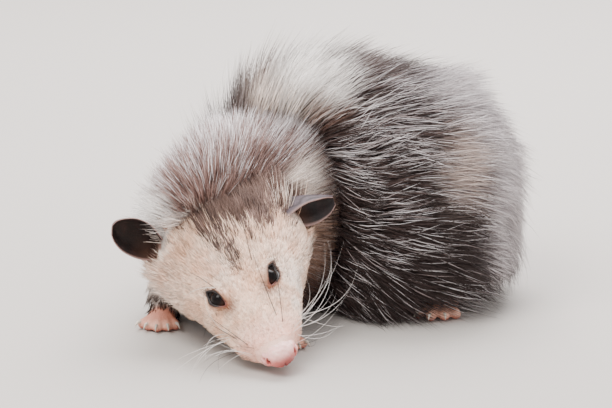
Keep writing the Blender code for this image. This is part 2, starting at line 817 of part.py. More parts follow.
def make_lock(path, size, grow):
    """A flat tapered lock along a path, with a diamond section and a point at its tip."""
    _, width, thick = size
    rings = []
    for k, (_, share, _) in enumerate(LOCK_PROFILE[:-1]):
        point, out = path[k]
        way = (path[k + 1][0] - path[max(0, k - 1)][0]).normalized()
        side = way.cross(out).normalized()
        out = side.cross(way)
        half_width = width / 2 * share + grow * 1.5
        half_thick = thick / 2 * (0.45 + 0.55 * share) + grow * 1.5
        rings.append([point + side * half_width, point + out * half_thick])
        rings[-1].extend([point - side * half_width, point - out * half_thick])
    tip, before = path[-1][0], path[-2][0]
    tip = tip + (tip - before).normalized() * grow * 3
    points = [corner for ring in rings for corner in ring] + [tip]
    faces = [(0, 1, 2), (0, 2, 3)]
    for row in range(len(rings) - 1):
        for k in range(4):
            a, b = row * 4 + k, row * 4 + (k + 1) % 4
            faces.extend(((a, b, b + 4), (a, b + 4, a + 4)))
    last = (len(rings) - 1) * 4
    faces.extend((last + k, last + (k + 1) % 4, len(points) - 1) for k in range(4))
    return object_from("lock", points, faces, CUTTERS)


def coat_paths(trunk, rows, bodies, chance):
    """Paths of all locks of a stretch, row by row and staggered."""
    paths = []
    for row, (start, size, low, high) in enumerate(rows):
        low, high = math.radians(low), math.radians(high)
        ends = [trunk_point(trunk, start, low + (high - low) * k / 24, CORE_SHARE) for k in range(25)]
        around = sum((b - a).length for a, b in zip(ends, ends[1:]))
        count = max(2, round(around / LOCK_SPACING))
        walked = [0.0]
        for a, b in zip(ends, ends[1:]):
            walked.append(walked[-1] + (b - a).length)
        for k in range(count):
            want = around * (k + 0.25 + 0.5 * (row % 2) + chance.uniform(-0.12, 0.12)) / count
            step = max(i for i, length in enumerate(walked[:-1]) if length <= max(0.0, want))
            part = (want - walked[step]) / (walked[step + 1] - walked[step])
            angle = low + (high - low) * (step + part) / 24
            root = start + chance.uniform(-0.003, 0.003)
            path = lock_path(trunk, root, angle, size, bodies, chance)
            middle = trunk_point(trunk, root + size[0] * 0.3, angle, CORE_SHARE + 0.1)
            if lifted(middle, bodies, 0.0)[1] is None and bends_softly(path):
                paths.append((path, size))
    return paths


def make_coat(name, core, paths, collection, grow=0.0):
    """A stretch of the trunk with its locks."""
    body = trunk_body(name, *core, CORE_SHARE, collection, grow)
    join(body, [make_lock(path, size, grow) for path, size in paths])
    return body


# Legs and tail

def make_leg(name, leg, collection, grow=0.0):
    """Leg, palm and five toes with blunt claws, resting on flats."""
    bones = [(*node[:3], node[3] + grow) for node in placed(leg["bones"])]
    obj = tube(name, bones[:2], 1, LEG_SIDES, collection)
    pieces = [tube("bone", pair, 1, LEG_SIDES, CUTTERS) for pair in zip(bones[1:], bones[2:])]
    centre, halves = leg["palm"]
    centre = from_nose(*centre)
    heading = math.radians(leg["toes_way"])
    halves = [half + grow for half in halves]
    palm = ball("palm", (0, 0, 0), (halves[1], halves[0], halves[2]), CUTTERS, 8, 5)
    palm.data.transform(Matrix.Translation(centre) @ Matrix.Rotation(heading, 4, "Z"))
    pieces.append(palm)
    for k in range(TOE_COUNT):
        spread = (k / (TOE_COUNT - 1) - 0.5) * math.radians(leg["toe_fan"])
        way = Vector((math.cos(heading + spread), math.sin(heading + spread), 0.0))
        length = leg["toe_length"] * (1.0 - 0.5 * abs(k - 2) / TOE_COUNT)
        radius = leg["toe_radius"]
        root = centre + way * halves[0] * 0.55
        knuckle = centre + way * (halves[0] * 0.75 + length * 0.5)
        tip = centre + way * (halves[0] * 0.75 + length)
        nodes = [
            (root.x, root.y, radius * 1.5, radius * 0.95 + grow),
            (knuckle.x, knuckle.y, radius * 1.45, radius * 0.92 + grow),
            (tip.x, tip.y, radius * 0.9, radius + grow),
        ]
        pieces.append(tube("toe", nodes, 2, TOE_SIDES, CUTTERS, round_ends=(False, True)))
    join(obj, pieces)
    if not grow:
        stand_on_floor(obj)
    return obj


def make_tail(collection):
    nodes = placed(TAIL_POINTS)
    cuts = len(TAIL_NAMES)
    half_gap = GAP / 2 / TAIL_LENGTH
    made = []
    for k, name in enumerate(TAIL_NAMES):
        start = k / cuts + (half_gap if k else 0.0)
        end = (k + 1) / cuts - (half_gap if k < cuts - 1 else 0.0)
        length = tube(name, nodes, TAIL_STEPS, TAIL_SIDES, collection, start, end, (k == 0, k == cuts - 1))
        stand_on_floor(length)
        made.append(length)
    return made


def finish(obj, kind):
    """Material and smooth shading of a finished node."""
    keep_largest(obj)
    obj.data.materials.clear()
    obj.data.materials.append(material(kind))
    obj.data.shade_smooth()


def main():
    parts = new_collection("opossum")
    head = make_head(parts)
    nose = make_nose(parts)
    nose_cutter = nose_form("nose_cutter", CUTTERS, GAP)
    nose_cutter.data.transform(head_matrix())
    ears = [make_ear(name, ear, parts) for name, ear in EARS.items()]
    ear_cutters = [ear_cutter(ear) for ear in EARS.values()]
    eyes = [make_eye("eye_right", -1, parts), make_eye("eye_left", 1, parts)]
    cut(head, nose_cutter)
    legs = [make_leg(name, leg, parts) for name, leg in LEGS.items()]
    leg_cutters = [make_leg(name + "_cutter", leg, CUTTERS, GAP) for name, leg in LEGS.items()]
    head_cutter = head_form("head_cutter", CUTTERS, GAP)
    head_cutter.data.transform(head_matrix())
    for piece in [*ears, *legs[:2]]:
        cut(piece, head_cutter)
    tail = make_tail(parts)
    nodes = [(*node[:3], node[3] + GAP) for node in placed(TAIL_POINTS)]
    tail_cutter = tube("tail_cutter", nodes, TAIL_STEPS, TAIL_SIDES, CUTTERS, 0.0, 1 / len(TAIL_NAMES))

    chance = random.Random(LOCK_SEED)
    neck_core = (NECK, 0.0, 9.0)
    torso_core = (BODY, -1.0, TORSO_END - GAP / 2)
    rump_core = (BODY, TORSO_END + GAP / 2, 9.0)
    whole_body = trunk_body("whole_body", BODY, -1.0, 9.0, CORE_SHARE, CUTTERS)
    whole_neck = trunk_body("whole_neck", NECK, 0.0, 9.0, CORE_SHARE, CUTTERS)
    neck_paths = coat_paths(NECK, NECK_ROWS, [whole_body], chance)
    torso_paths = coat_paths(BODY, TORSO_ROWS, [whole_neck], chance)
    rump_paths = coat_paths(BODY, RUMP_ROWS, [], chance)
    neck = make_coat("neck", neck_core, neck_paths, parts)
    torso = make_coat("torso", torso_core, torso_paths, parts)
    rump = make_coat("rump", rump_core, rump_paths, parts)
    neck_cutter = make_coat("neck_cutter", neck_core, neck_paths, CUTTERS, GAP)
    torso_cutter = make_coat("torso_cutter", torso_core, torso_paths, CUTTERS, GAP)
    for stretch, cutters in (
        (neck, [head_cutter, *ear_cutters, *leg_cutters[:2]]),
        (torso, [neck_cutter, head_cutter, ear_cutters[1], *leg_cutters, tail_cutter]),
        (rump, [torso_cutter, *leg_cutters[2:], tail_cutter]),
    ):
        for cutter in cutters:
            cut(stretch, cutter)
        stand_on_floor(stretch, COAT_FLOOR)
    for cutter in list(CUTTERS.objects):
        remove(cutter)
    finish(head, "face")
    finish(nose, "nose")
    for ear in ears:
        finish(ear, "ear")
    for eye in eyes:
        finish(eye, "eye")
    for leg in legs:
        finish(leg, "paw")
    for length in tail:
        finish(length, "tail")
    for stretch in (neck, torso, rump):
        finish(stretch, "coat")


clear_scene()
CUTTERS = new_collection("cutters")
CUTTERS.hide_render = True
for stem in (NECK, BODY):
    stem["line"] = trunk_line(stem)
main()
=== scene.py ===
# Looks of a life-size opossum, crouched and curled to its left with its nose near the floor: skin,
# coat, face, ears, eyes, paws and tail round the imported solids. Metres, nose towards -Y.
import math

import bmesh
import bpy
import numpy as np
from mathutils import Matrix, Vector
from mathutils.bvhtree import BVHTree
from mathutils.kdtree import KDTree


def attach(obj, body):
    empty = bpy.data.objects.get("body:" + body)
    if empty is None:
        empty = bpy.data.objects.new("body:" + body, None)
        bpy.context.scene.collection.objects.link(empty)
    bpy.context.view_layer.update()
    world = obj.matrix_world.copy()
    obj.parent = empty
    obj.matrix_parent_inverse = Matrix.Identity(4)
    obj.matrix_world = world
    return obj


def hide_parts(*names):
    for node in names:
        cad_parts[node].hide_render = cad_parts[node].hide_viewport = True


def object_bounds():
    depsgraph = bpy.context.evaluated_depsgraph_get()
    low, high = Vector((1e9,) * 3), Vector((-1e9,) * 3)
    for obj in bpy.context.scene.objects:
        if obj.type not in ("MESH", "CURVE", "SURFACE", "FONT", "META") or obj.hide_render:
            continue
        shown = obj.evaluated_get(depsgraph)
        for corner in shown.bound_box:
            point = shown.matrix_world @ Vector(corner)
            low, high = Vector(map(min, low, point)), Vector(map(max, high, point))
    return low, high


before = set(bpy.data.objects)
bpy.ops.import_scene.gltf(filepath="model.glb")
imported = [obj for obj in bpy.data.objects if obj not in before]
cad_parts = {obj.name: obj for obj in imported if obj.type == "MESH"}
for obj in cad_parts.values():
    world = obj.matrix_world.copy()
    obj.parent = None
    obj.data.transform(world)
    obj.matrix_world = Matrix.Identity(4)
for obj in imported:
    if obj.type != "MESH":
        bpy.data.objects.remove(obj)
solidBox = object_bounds()
furShare = 1.0
upward = np.array([0.0, 0.0, 1.0])

pose = {
    "nosePlace": (-0.0292, -0.1355, 0.0125),
    "yaw": 22.0,  # nose turned to the animal's left
    "pitch": 20.0,  # nose down
    "roll": 19.0,  # left side up
}


# Small helpers for points, colours and meshes


def linear(shade):
    value = np.asarray(shade, float) / 255
    return np.where(value <= 0.04045, value / 12.92, ((value + 0.055) / 1.055) ** 2.4)


def shadesOf(**colours):
    # Named colours, from 0 to 255 as a screen shows them, made linear
    return {name: linear(colour) for name, colour in colours.items()}


def mixed(first, second, share):
    share = np.clip(np.asarray(share, float), 0, 1)[..., None]
    return first * (1 - share) + second * share


def unit(vectors):
    return vectors / np.maximum(np.linalg.norm(vectors, axis=-1, keepdims=True), 1e-9)


def signedPower(value, exponent):
    return np.sign(value) * np.abs(value) ** exponent


def ramp(value, low, high):
    share = np.clip((value - low) / (high - low), 0, 1)
    return share * share * (3 - 2 * share)


def bell(value, width):
    return np.exp(-((value / width) ** 2))


def blob(points, centre, sizes):
    return np.exp(-(((points - np.array(centre)) / np.array(sizes)) ** 2).sum(-1))


def tableAt(table, value):
    rows = np.array(table)
    return np.interp(value, rows[:, 0], rows[:, 1])


def ripple(points, size, seed):
    # Soft noise between about -1 and 1, with features of the given size
    draw = np.random.default_rng(seed)
    waves = draw.normal(size=(7, 3)) * 2.2 / size
    shifts = draw.uniform(0, 2 * math.pi, 7)
    return np.sin(points @ waves.T + shifts).sum(-1) / 2.6


def curveThrough(rows, places):
    # A Catmull-Rom curve through rows of numbers, read at places from 0 to the last row
    rows = np.array(rows, float)
    last = len(rows) - 1
    index = np.clip(places.astype(int), 0, last - 1)
    t = (places - index)[:, None]
    a, b, c, d = (rows[np.clip(index + k, 0, last)] for k in (-1, 0, 1, 2))
    return 0.5 * (2 * b + (c - a) * t + (2 * a - 5 * b + 4 * c - d) * t**2 + (3 * b - a - 3 * c + d) * t**3)


def moved(matrix, points):
    array = np.array(matrix)
    return points @ array[:3, :3].T + array[:3, 3]


def fromNose(points):
    # Points given from the floor under the nose tip
    return np.asarray(points, float) + np.array([*pose["nosePlace"][:2], 0.0])


def linked(name, data):
    thing = bpy.data.objects.new(name, data)
    bpy.context.scene.collection.objects.link(thing)
    return thing


def newObject(name, points, faces):
    mesh = bpy.data.meshes.new(name)
    mesh.from_pydata([tuple(p) for p in points], [], faces)
    mesh.polygons.foreach_set("use_smooth", [True] * len(mesh.polygons))
    return linked(name, mesh)


def faceOut(thing):
    work = bmesh.new()
    work.from_mesh(thing.data)
    bmesh.ops.recalc_face_normals(work, faces=work.faces)
    work.to_mesh(thing.data)
    work.free()


def pointsOf(thing):
    points = np.empty(len(thing.data.vertices) * 3)
    thing.data.vertices.foreach_get("co", points)
    return points.reshape(-1, 3)


def setPoints(thing, points):
    thing.data.vertices.foreach_set("co", np.asarray(points, float).ravel())
    thing.data.update()


def normalsOf(thing):
    normals = np.empty(len(thing.data.vertices) * 3)
    thing.data.vertex_normals.foreach_get("vector", normals)
    return normals.reshape(-1, 3)


def paint(thing, tones, name="tone"):
    layer = thing.data.color_attributes.new(name=name, type="FLOAT_COLOR", domain="POINT")
    full = np.ones((len(tones), 4))
    full[:, :3] = tones
    layer.data.foreach_set("color", full.ravel())


def applyModifiers(thing):
    graph = bpy.context.evaluated_depsgraph_get()
    made = bpy.data.meshes.new_from_object(thing.evaluated_get(graph))
    thing.modifiers.clear()
    thing.data = made


def joined(name, things):
    # One object of all the things' meshes, which are then removed
    work = bmesh.new()
    for thing in things:
        work.from_mesh(thing.data)
        bpy.data.objects.remove(thing, do_unlink=True)
    mesh = bpy.data.meshes.new(name)
    work.to_mesh(mesh)
    work.free()
    return linked(name, mesh)


def smoothed(thing, voxel, rounds):
    # Makes one even mesh of the thing's overlapping parts and softens it
    remesh = thing.modifiers.new("remesh", "REMESH")
    remesh.mode = "VOXEL"
    remesh.voxel_size = voxel
    soften = thing.modifiers.new("soften", "SMOOTH")
    soften.iterations = rounds
    applyModifiers(thing)


def gridFaces(rows, columns, closed=True):
    faces = []
    for row in range(rows - 1):
        for column in range(columns if closed else columns - 1):
            a = row * columns + column
            b = row * columns + (column + 1) % columns
            faces.append((a, b, b + columns, a + columns))
    return faces


def loft(name, rings):
    # A closed body through rings of points
    rows, columns = rings.shape[:2]
    points = np.concatenate([rings.reshape(-1, 3), rings[:1].mean(1), rings[-1:].mean(1)])
    faces = gridFaces(rows, columns)
    first, last = rows * columns, rows * columns + 1
    faces += [(k, (k + 1) % columns, first) for k in range(columns)]
    base = (rows - 1) * columns
    faces += [(base + k, base + (k + 1) % columns, last) for k in range(columns)]
    thing = newObject(name, points, faces)
    faceOut(thing)
    return thing


def tubeRings(nodes, steps, sides, roundEnds=True):
    # Rings of a limb through nodes of x, y, z and radius
    places = np.linspace(0, len(nodes) - 1, steps + 1)
    stations = curveThrough(nodes, places)
    centres, radii = stations[:, :3], stations[:, 3]
    if roundEnds:
        shares = np.sin(np.linspace(0, 1, 6)[1:] * math.pi / 2 * 0.985)
        startWay, endWay = unit(centres[0] - centres[1]), unit(centres[-1] - centres[-2])
        starts = [centres[0] + startWay * radii[0] * s for s in shares[::-1]]
        ends = [centres[-1] + endWay * radii[-1] * s for s in shares]
        narrow = np.sqrt(1 - shares**2)
        centres = np.concatenate([starts, centres, ends])
        radii = np.concatenate([radii[0] * narrow[::-1], radii, radii[-1] * narrow])
    ways = unit(np.gradient(centres, axis=0))
    side = unit(np.cross(ways[0], [0.3, 0.2, 1.0]))
    angles = np.linspace(0, 2 * math.pi, sides, endpoint=False)
    rings = []
    for centre, way, radius in zip(centres, ways, radii):
        side = unit(side - way * side.dot(way))
        rise = np.cross(way, side)
        rings.append(centre + radius * (np.outer(np.cos(angles), side) + np.outer(np.sin(angles), rise)))
    return np.array(rings)


def ellipsoid(name, centre, halves, turn=0.0, rows=20, columns=32):
    tilt = np.linspace(0.03, math.pi - 0.03, rows)[:, None]
    around = np.linspace(0, 2 * math.pi, columns, endpoint=False)[None, :]
    level = np.sin(tilt)
    ball = np.stack([level * np.cos(around), level * np.sin(around), np.cos(tilt) + 0 * around], -1)
    placed = Matrix.Translation(centre) @ Matrix.Rotation(turn, 4, "Z")
    return loft(name, moved(placed, ball * np.array(halves)))


# Materials


def newMaterial(name, roughness, specular=0.5):
    made = bpy.data.materials.new(name)
    made.use_nodes = True
    shader = made.node_tree.nodes["Principled BSDF"]
    shader.inputs["Roughness"].default_value = roughness
    shader.inputs["Specular IOR Level"].default_value = specular
    return made, made.node_tree, shader


def addNode(tree, kind, **values):
    node = tree.nodes.new(kind)
    for key, value in values.items():
        if key in node.inputs:
            node.inputs[key].default_value = value
        else:
            setattr(node, key, value)
    return node


def wire(tree, node, output, into, name):
    tree.links.new(node.outputs[output], into.inputs[name])


def toneColour(tree, shader, speckSize, speckShare):
    # Painted tone with fine specks laid over it
    tone = addNode(tree, "ShaderNodeAttribute", attribute_name="tone")
    place = addNode(tree, "ShaderNodeTexCoord")
    speck = addNode(tree, "ShaderNodeTexNoise", Scale=1 / speckSize, Detail=4.0)
    spreads = {"From Min": 0.3, "From Max": 0.7, "To Min": 0.75, "To Max": 1.2}
    spread = addNode(tree, "ShaderNodeMapRange", **spreads)
    blend = addNode(tree, "ShaderNodeMix", data_type="RGBA", blend_type="MULTIPLY", Factor=speckShare)
    wire(tree, place, "Object", speck, "Vector")
    wire(tree, speck, "Fac", spread, "Value")
    wire(tree, tone, "Color", blend, 6)
    wire(tree, spread, "Result", blend, 7)
    wire(tree, blend, 2, shader, "Base Color")
    return place


surfaces = {
    # roughness, specular level, size and share of the specks, then the bump's texture with its
    # settings, strength and depth
    "opossum skin": (0.55, 0.3, 0.0009, 0.4, "Noise", (1400.0, 5.0, 0.65), 0.55, 0.0005),
    "moist nose skin": (0.26, 0.45, 0.0011, 0.35, "Voronoi", (1500.0,), 0.3, 0.0002),
    "thin ear skin": (0.5, 0.3, 0.0016, 0.5, "Noise", (420.0, 6.0, 0.6), 0.5, 0.0008),
    "scaly tail skin": (0.5, 0.4, 0.0018, 0.5, "Voronoi", (620.0,), 0.7, 0.0006),
    "wet dark eye": (0.04, 0.12, 0.002, 0.3, "Noise", (500.0,), 0.02, 0.0001),
    "wet lid rim": (0.3, 0.5, 0.0009, 0.4, "Noise", (1600.0,), 0.3, 0.0002),
    "horn claw": (0.3, 0.5, 0.0008, 0.4, "Noise", (900.0,), 0.3, 0.0002),
}


def surface(name):
    # A skin or horn with painted tones, specks and a fine relief
    roughness, specular, speckSize, speckShare, texture, values, strength, depth = surfaces[name]
    made, tree, shader = newMaterial(name, roughness, specular)
    place = toneColour(tree, shader, speckSize, speckShare)
    relief = addNode(tree, "ShaderNodeTex" + texture, **dict(zip(("Scale", "Detail", "Roughness"), values)))
    bump = addNode(tree, "ShaderNodeBump", Strength=strength, Distance=depth)
    wire(tree, place, "Object", relief, "Vector")
    wire(tree, relief, "Distance" if texture == "Voronoi" else "Fac", bump, "Height")
    wire(tree, bump, "Normal", shader, "Normal")
    return made


def furMaterial(name, roughness, specular):
    made, tree, shader = newMaterial(name, roughness, specular)
    toneColour(tree, shader, 0.0012, 0.35)
    return made


def skinMaterial():
    # Fine grain under the fur, creases where the attribute "bare" is one
    made = surface("opossum skin")
    tree = made.node_tree
    place, grain, bump = (tree.nodes[name] for name in ("Texture Coordinate", "Noise Texture.001", "Bump"))
    creases = addNode(tree, "ShaderNodeTexVoronoi", Scale=900.0)
    bare = addNode(tree, "ShaderNodeAttribute", attribute_name="bare")
    either = addNode(tree, "ShaderNodeMix", data_type="FLOAT")
    wire(tree, place, "Object", creases, "Vector")
    wire(tree, bare, "Fac", either, 0)
    wire(tree, grain, "Fac", either, 2)
    wire(tree, creases, "Distance", either, 3)
    wire(tree, either, 0, bump, "Height")
    return made


def noseMaterial():
    made = surface("moist nose skin")
    shader = made.node_tree.nodes["Principled BSDF"]
    shader.inputs["Subsurface Weight"].default_value = 0.25
    shader.inputs["Subsurface Radius"].default_value = (0.004, 0.0015, 0.001)
    shader.inputs["Subsurface Scale"].default_value = 0.6
    return made


def dress(thing, material, slot, *nodes):
    thing.data.materials.clear()
    thing.data.materials.append(material)
    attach(thing, "root")
    if nodes:
        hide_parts(*nodes)


# Camera, light and floor

view = {
    "elevation": 15.0,
    "distance": 2.4,
    "focalPixels": 4080.0,
    "picture": (612, 408),
    "nosePixel": (280, 357),  # where the nose tip stands in the picture
}


def makeCamera():
    tilt = math.radians(view["elevation"])
    ahead = Vector((0, math.cos(tilt), -math.sin(tilt)))
    rise = Vector((0, math.sin(tilt), math.cos(tilt)))
    width, height = view["picture"]
    perPixel = view["distance"] / view["focalPixels"]
    right = (width / 2 - view["nosePixel"][0]) * perPixel
    up = (view["nosePixel"][1] - height / 2) * perPixel
    data = bpy.data.cameras.new("camera")
    data.sensor_width = 36.0
    data.lens = view["focalPixels"] / width * data.sensor_width
    camera = linked("camera", data)
    middle = Vector(pose["nosePlace"]) + Vector((right, 0, 0)) + rise * up
    camera.location = middle - ahead * view["distance"]
    camera.rotation_euler = (math.pi / 2 - tilt, 0, 0)
    bpy.context.scene.camera = camera


light = {
    "world": (1.0, 0.97, 0.972),
    "worldStrength": 1.36,
    "lamps": (  # name, place, size, watts, colour
        ("keyLamp", (-0.55, -0.75, 1.35), 0.8, 27.0, (1.0, 0.97, 0.93)),
        ("skyLamp", (0.2, 0.75, 1.25), 1.2, 58.0, (1.0, 0.97, 0.975)),
    ),
    "aim": (0.0, 0.0, 0.06),
    "floor": (190, 185, 180),
    "floorHalf": 4.0,
}


def makeLight():
    world = bpy.data.worlds.new("soft daylight")
    bpy.context.scene.world = world
    world.use_nodes = True
    back = world.node_tree.nodes["Background"]
    back.inputs["Color"].default_value = (*light["world"], 1)
    back.inputs["Strength"].default_value = light["worldStrength"]
    for name, place, size, watts, colour in light["lamps"]:
        data = bpy.data.lights.new(name, "AREA")
        data.size = size
        data.energy = watts
        data.color = colour
        lamp = linked(name, data)
        lamp.location = place
        lamp.rotation_euler = (Vector(light["aim"]) - Vector(place)).to_track_quat("-Z", "Y").to_euler()
    half = light["floorHalf"]
    corners = [(-half, -half, 0), (half, -half, 0), (half, half, 0), (-half, half, 0)]
    floor = newObject("studioFloor", corners, [(0, 1, 2, 3)])
    made, tree, shader = newMaterial("pale studio floor", 0.85, 0.2)
    grain = addNode(tree, "ShaderNodeTexNoise", Scale=40.0)
    colours = addNode(tree, "ShaderNodeValToRGB")
    tone = linear(light["floor"])
    colours.color_ramp.elements[0].color = (*(tone * 0.97), 1)
    colours.color_ramp.elements[1].color = (*tone, 1)
    wire(tree, grain, "Fac", colours, "Fac")
    wire(tree, colours, "Color", shader, "Base Color")
    floor.data.materials.append(made)


# Head

head = {
    # back from the nose tip, shift to the left, centre height, half width, height above, depth below
    "sections": (
        (0.0035, 0.0002, -0.0012, 0.0078, 0.0066, 0.0078),
        (0.01, 0.0002, -0.0006, 0.0124, 0.0092, 0.0112),
        (0.02, 0.0007, 0.0004, 0.0186, 0.012, 0.0145),
        (0.032, 0.0013, 0.0022, 0.0237, 0.015, 0.0172),
        (0.046, 0.0018, 0.004, 0.0292, 0.0185, 0.0198),
        (0.059, 0.0038, 0.0055, 0.0362, 0.0215, 0.022),
        (0.074, 0.0048, 0.006, 0.045, 0.0245, 0.0255),
        (0.09, 0.006, 0.007, 0.051, 0.0275, 0.0285),
        (0.104, 0.0062, 0.009, 0.051, 0.0295, 0.03),
        (0.117, 0.005, 0.011, 0.045, 0.029, 0.029),
        (0.126, 0.004, 0.0125, 0.033, 0.023, 0.023),
        (0.13, 0.004, 0.013, 0.017, 0.012, 0.012),
    ),
    "squareness": 2.2,
    "furDepth": ((0.0, 0.0004), (0.04, 0.001), (0.075, 0.003), (0.1, 0.0055), (0.13, 0.007)),
    "faceRows": (0.0035, 0.075, 168),
    "crownRows": (0.0755, 0.1298, 72),
    "columns": 256,
    "crown": (0.002, 0.095, 0.024),  # where the fur of the neck fans out from
    # back and height of the line between the lips
    "mouthLine": (
        (0.0085, -0.0078), (0.015, -0.0088), (0.025, -0.0092),
        (0.038, -0.0092), (0.05, -0.0075), (0.056, -0.005),
    ),
    # push out or in, centre and reach of forms on either side of the head
    "forms": (
        (0.0022, (0.014, 0.02, -0.002), (0.009, 0.011, 0.007)),  # whisker pad
        (0.0016, (0.033, 0.064, 0.002), (0.012, 0.014, 0.011)),  # cheek bone
        (0.0014, (0.0145, 0.058, 0.027), (0.008, 0.012, 0.008)),  # brow
        (-0.0008, (0.0225, 0.038, 0.013), (0.005, 0.009, 0.005)),  # hollow before the eye
        (-0.001, (0.022, 0.056, 0.021), (0.007, 0.008, 0.007)),  # hollow behind the eye
        (0.0018, (0.026, 0.042, -0.004), (0.01, 0.022, 0.012)),  # jaw
    ),
}

eyes = {
    "ball": 0.0066,
    "back": 0.0487,
    "side": 0.0166,
    "height": 0.0176,
    "deep": 0.0024,  # how far the ball is set into the head
    "shift": -0.0012,
    "tilt": 0.0008,
    "openLength": 0.0167,
    "openHeight": 0.0079,
    "openBack": 0.0007,  # how far the opening's middle lies behind the ball's
    "slant": 12.0,
    "lid": 0.0011,  # thickness of the lids over the ball
    "around": 0.018,  # how far from the ball's middle the skin is shaped for it
    "crease": 0.0006,  # depth of the fold behind the lids
    "swell": 0.0007,  # of the lids along the opening
    "setBack": 0.0022,  # of the skin behind the ball
    "flesh": 0.0034,  # height of the flesh that fills the corners
    "rimLift": 0.0004,  # of the bare rim's middle over the ball
    "rimLow": 0.004,  # the rim's least height, at the corners
    "rimThick": 0.00074,
    "rimTaper": 0.00018,  # thinner by this towards the nose
    "inner": 0.0098,  # where the stain at the inner corner has its middle
    "outer": -0.0094,  # and the dark streak at the outer corner
}


def headMatrix():
    turn = Matrix.Rotation(math.radians(pose["yaw"]), 4, "Z")
    nod = Matrix.Rotation(math.radians(pose["pitch"]), 4, "X")
    lean = Matrix.Rotation(math.radians(-pose["roll"]), 4, "Y")
    return Matrix.Translation(pose["nosePlace"]) @ turn @ nod @ lean


def headSection(back):
    rows = np.array(head["sections"])
    places = np.interp(back, rows[:, 0], np.arange(len(rows)))
    return curveThrough(rows, np.atleast_1d(places))[:, 1:]


def headPoints(back, angle):
    # The head's bare surface, inside its short coat
    shift, centre, halfWidth, above, below = headSection(back).T
    thin = tableAt(head["furDepth"], back)
    power = 2 / head["squareness"]
    side = (halfWidth - thin) * signedPower(np.cos(angle), power)
    rise = (np.where(np.sin(angle) > 0, above, below) - thin) * signedPower(np.sin(angle), power)
    return np.stack([shift + side, back, centre + rise], -1)


def eyeMatrix(side):
    height = eyes["height"] + side * eyes["tilt"]
    centre = Vector((side * eyes["side"] + eyes["shift"], eyes["back"], height))
    out = Vector((side * 0.62, -0.38, 0.69)).normalized()
    along = Vector((0.0, -1.0, 0.0))
    along = (along - out * along.dot(out)).normalized()
    along = Matrix.Rotation(math.radians(-side * eyes["slant"]), 3, out) @ along
    across = out.cross(along)
    centre -= out * eyes["deep"]
    return Matrix.Translation(centre) @ Matrix((along, across, out)).transposed().to_4x4()


def opening():
    # Half length and half height of the almond between the lids, and the radius of its arcs
    halfLength, halfHeight = eyes["openLength"] / 2, eyes["openHeight"] / 2
    return halfLength, halfHeight, (halfLength**2 + halfHeight**2) / (2 * halfHeight)


def almond(along, across):
    # How far a point lies outside the opening of the lids, negative inside
    halfLength, halfHeight, radius = opening()
    along = along + eyes["openBack"]
    inner = np.clip(np.abs(along), 0, halfLength)
    edge = np.sqrt(radius**2 - inner**2) - (radius - halfHeight)
    past = np.maximum(np.abs(along) - halfLength, 0)
    return np.where(past > 0, np.hypot(past, across), np.abs(across) - edge)


def shapeLids(points, side):
    # Sinks the skin behind the ball inside the opening and drapes lids over the ball round it
    placed = eyeMatrix(side)
    along, across, out = moved(placed.inverted(), points).T
    ball, lidBall = eyes["ball"], eyes["ball"] + eyes["lid"]
    reach = np.hypot(along, across)
    near = (reach < eyes["around"]) & (out > -0.006)
    over = np.sqrt(np.maximum(lidBall**2 - reach**2, 0))
    outside = almond(along, across)
    crease = eyes["crease"] * bell(outside - 0.0026, 0.0008)
    lifted = np.maximum(out, np.where(reach < lidBall, over, -1)) - crease
    lifted += eyes["swell"] * bell(outside - 0.0008, 0.0009)
    corner = ramp(np.abs(along), ball * 0.62, ball * 0.98)  # the flesh in the corners of the eye
    behind = np.sqrt(np.maximum(ball**2 - reach**2, 0)) - eyes["setBack"] * (1 - corner)
    sunk = np.maximum(behind, eyes["flesh"] * corner)
    out = np.where(near, np.where(outside < 0.0001, sunk, lifted), out)
    return moved(placed, np.stack([along, across, out], -1))


def sculptHead(points):
    # Brow, cheeks, whisker pads, lips and chin pushed out or in along the head's own axes
    side, back, height = points.T
    away = unit((points - np.array([0.004, 0.0, 0.0])) * np.array([1.0, 0.0, 1.0]))
    push = np.zeros(len(points))
    for flank in (-1, 1):
        for amount, (x, y, z), sizes in head["forms"]:
            push += amount * blob(points, (flank * x, y, z), sizes)
    push -= 0.0009 * blob(points, (0.0015, 0.056, 0.026), (0.005, 0.02, 0.01))  # furrow between the brows
    off = height - tableAt(head["mouthLine"], back)
    inMouth = ramp(back, 0.002, 0.006) * (1 - ramp(back, 0.054, 0.06)) * (np.abs(side) > 0.001)
    push -= 0.0013 * bell(off, 0.0007) * inMouth
    push += 0.001 * bell(off - 0.0021, 0.0016) * inMouth
    push += 0.0008 * bell(off + 0.0021, 0.0015) * inMouth
    push -= 0.0006 * bell(side, 0.0006) * blob(points, (0, 0.004, -0.006), (1, 0.004, 0.004))
    push += 0.00025 * ripple(points, 0.006, 4)
    return points + away * push[:, None]


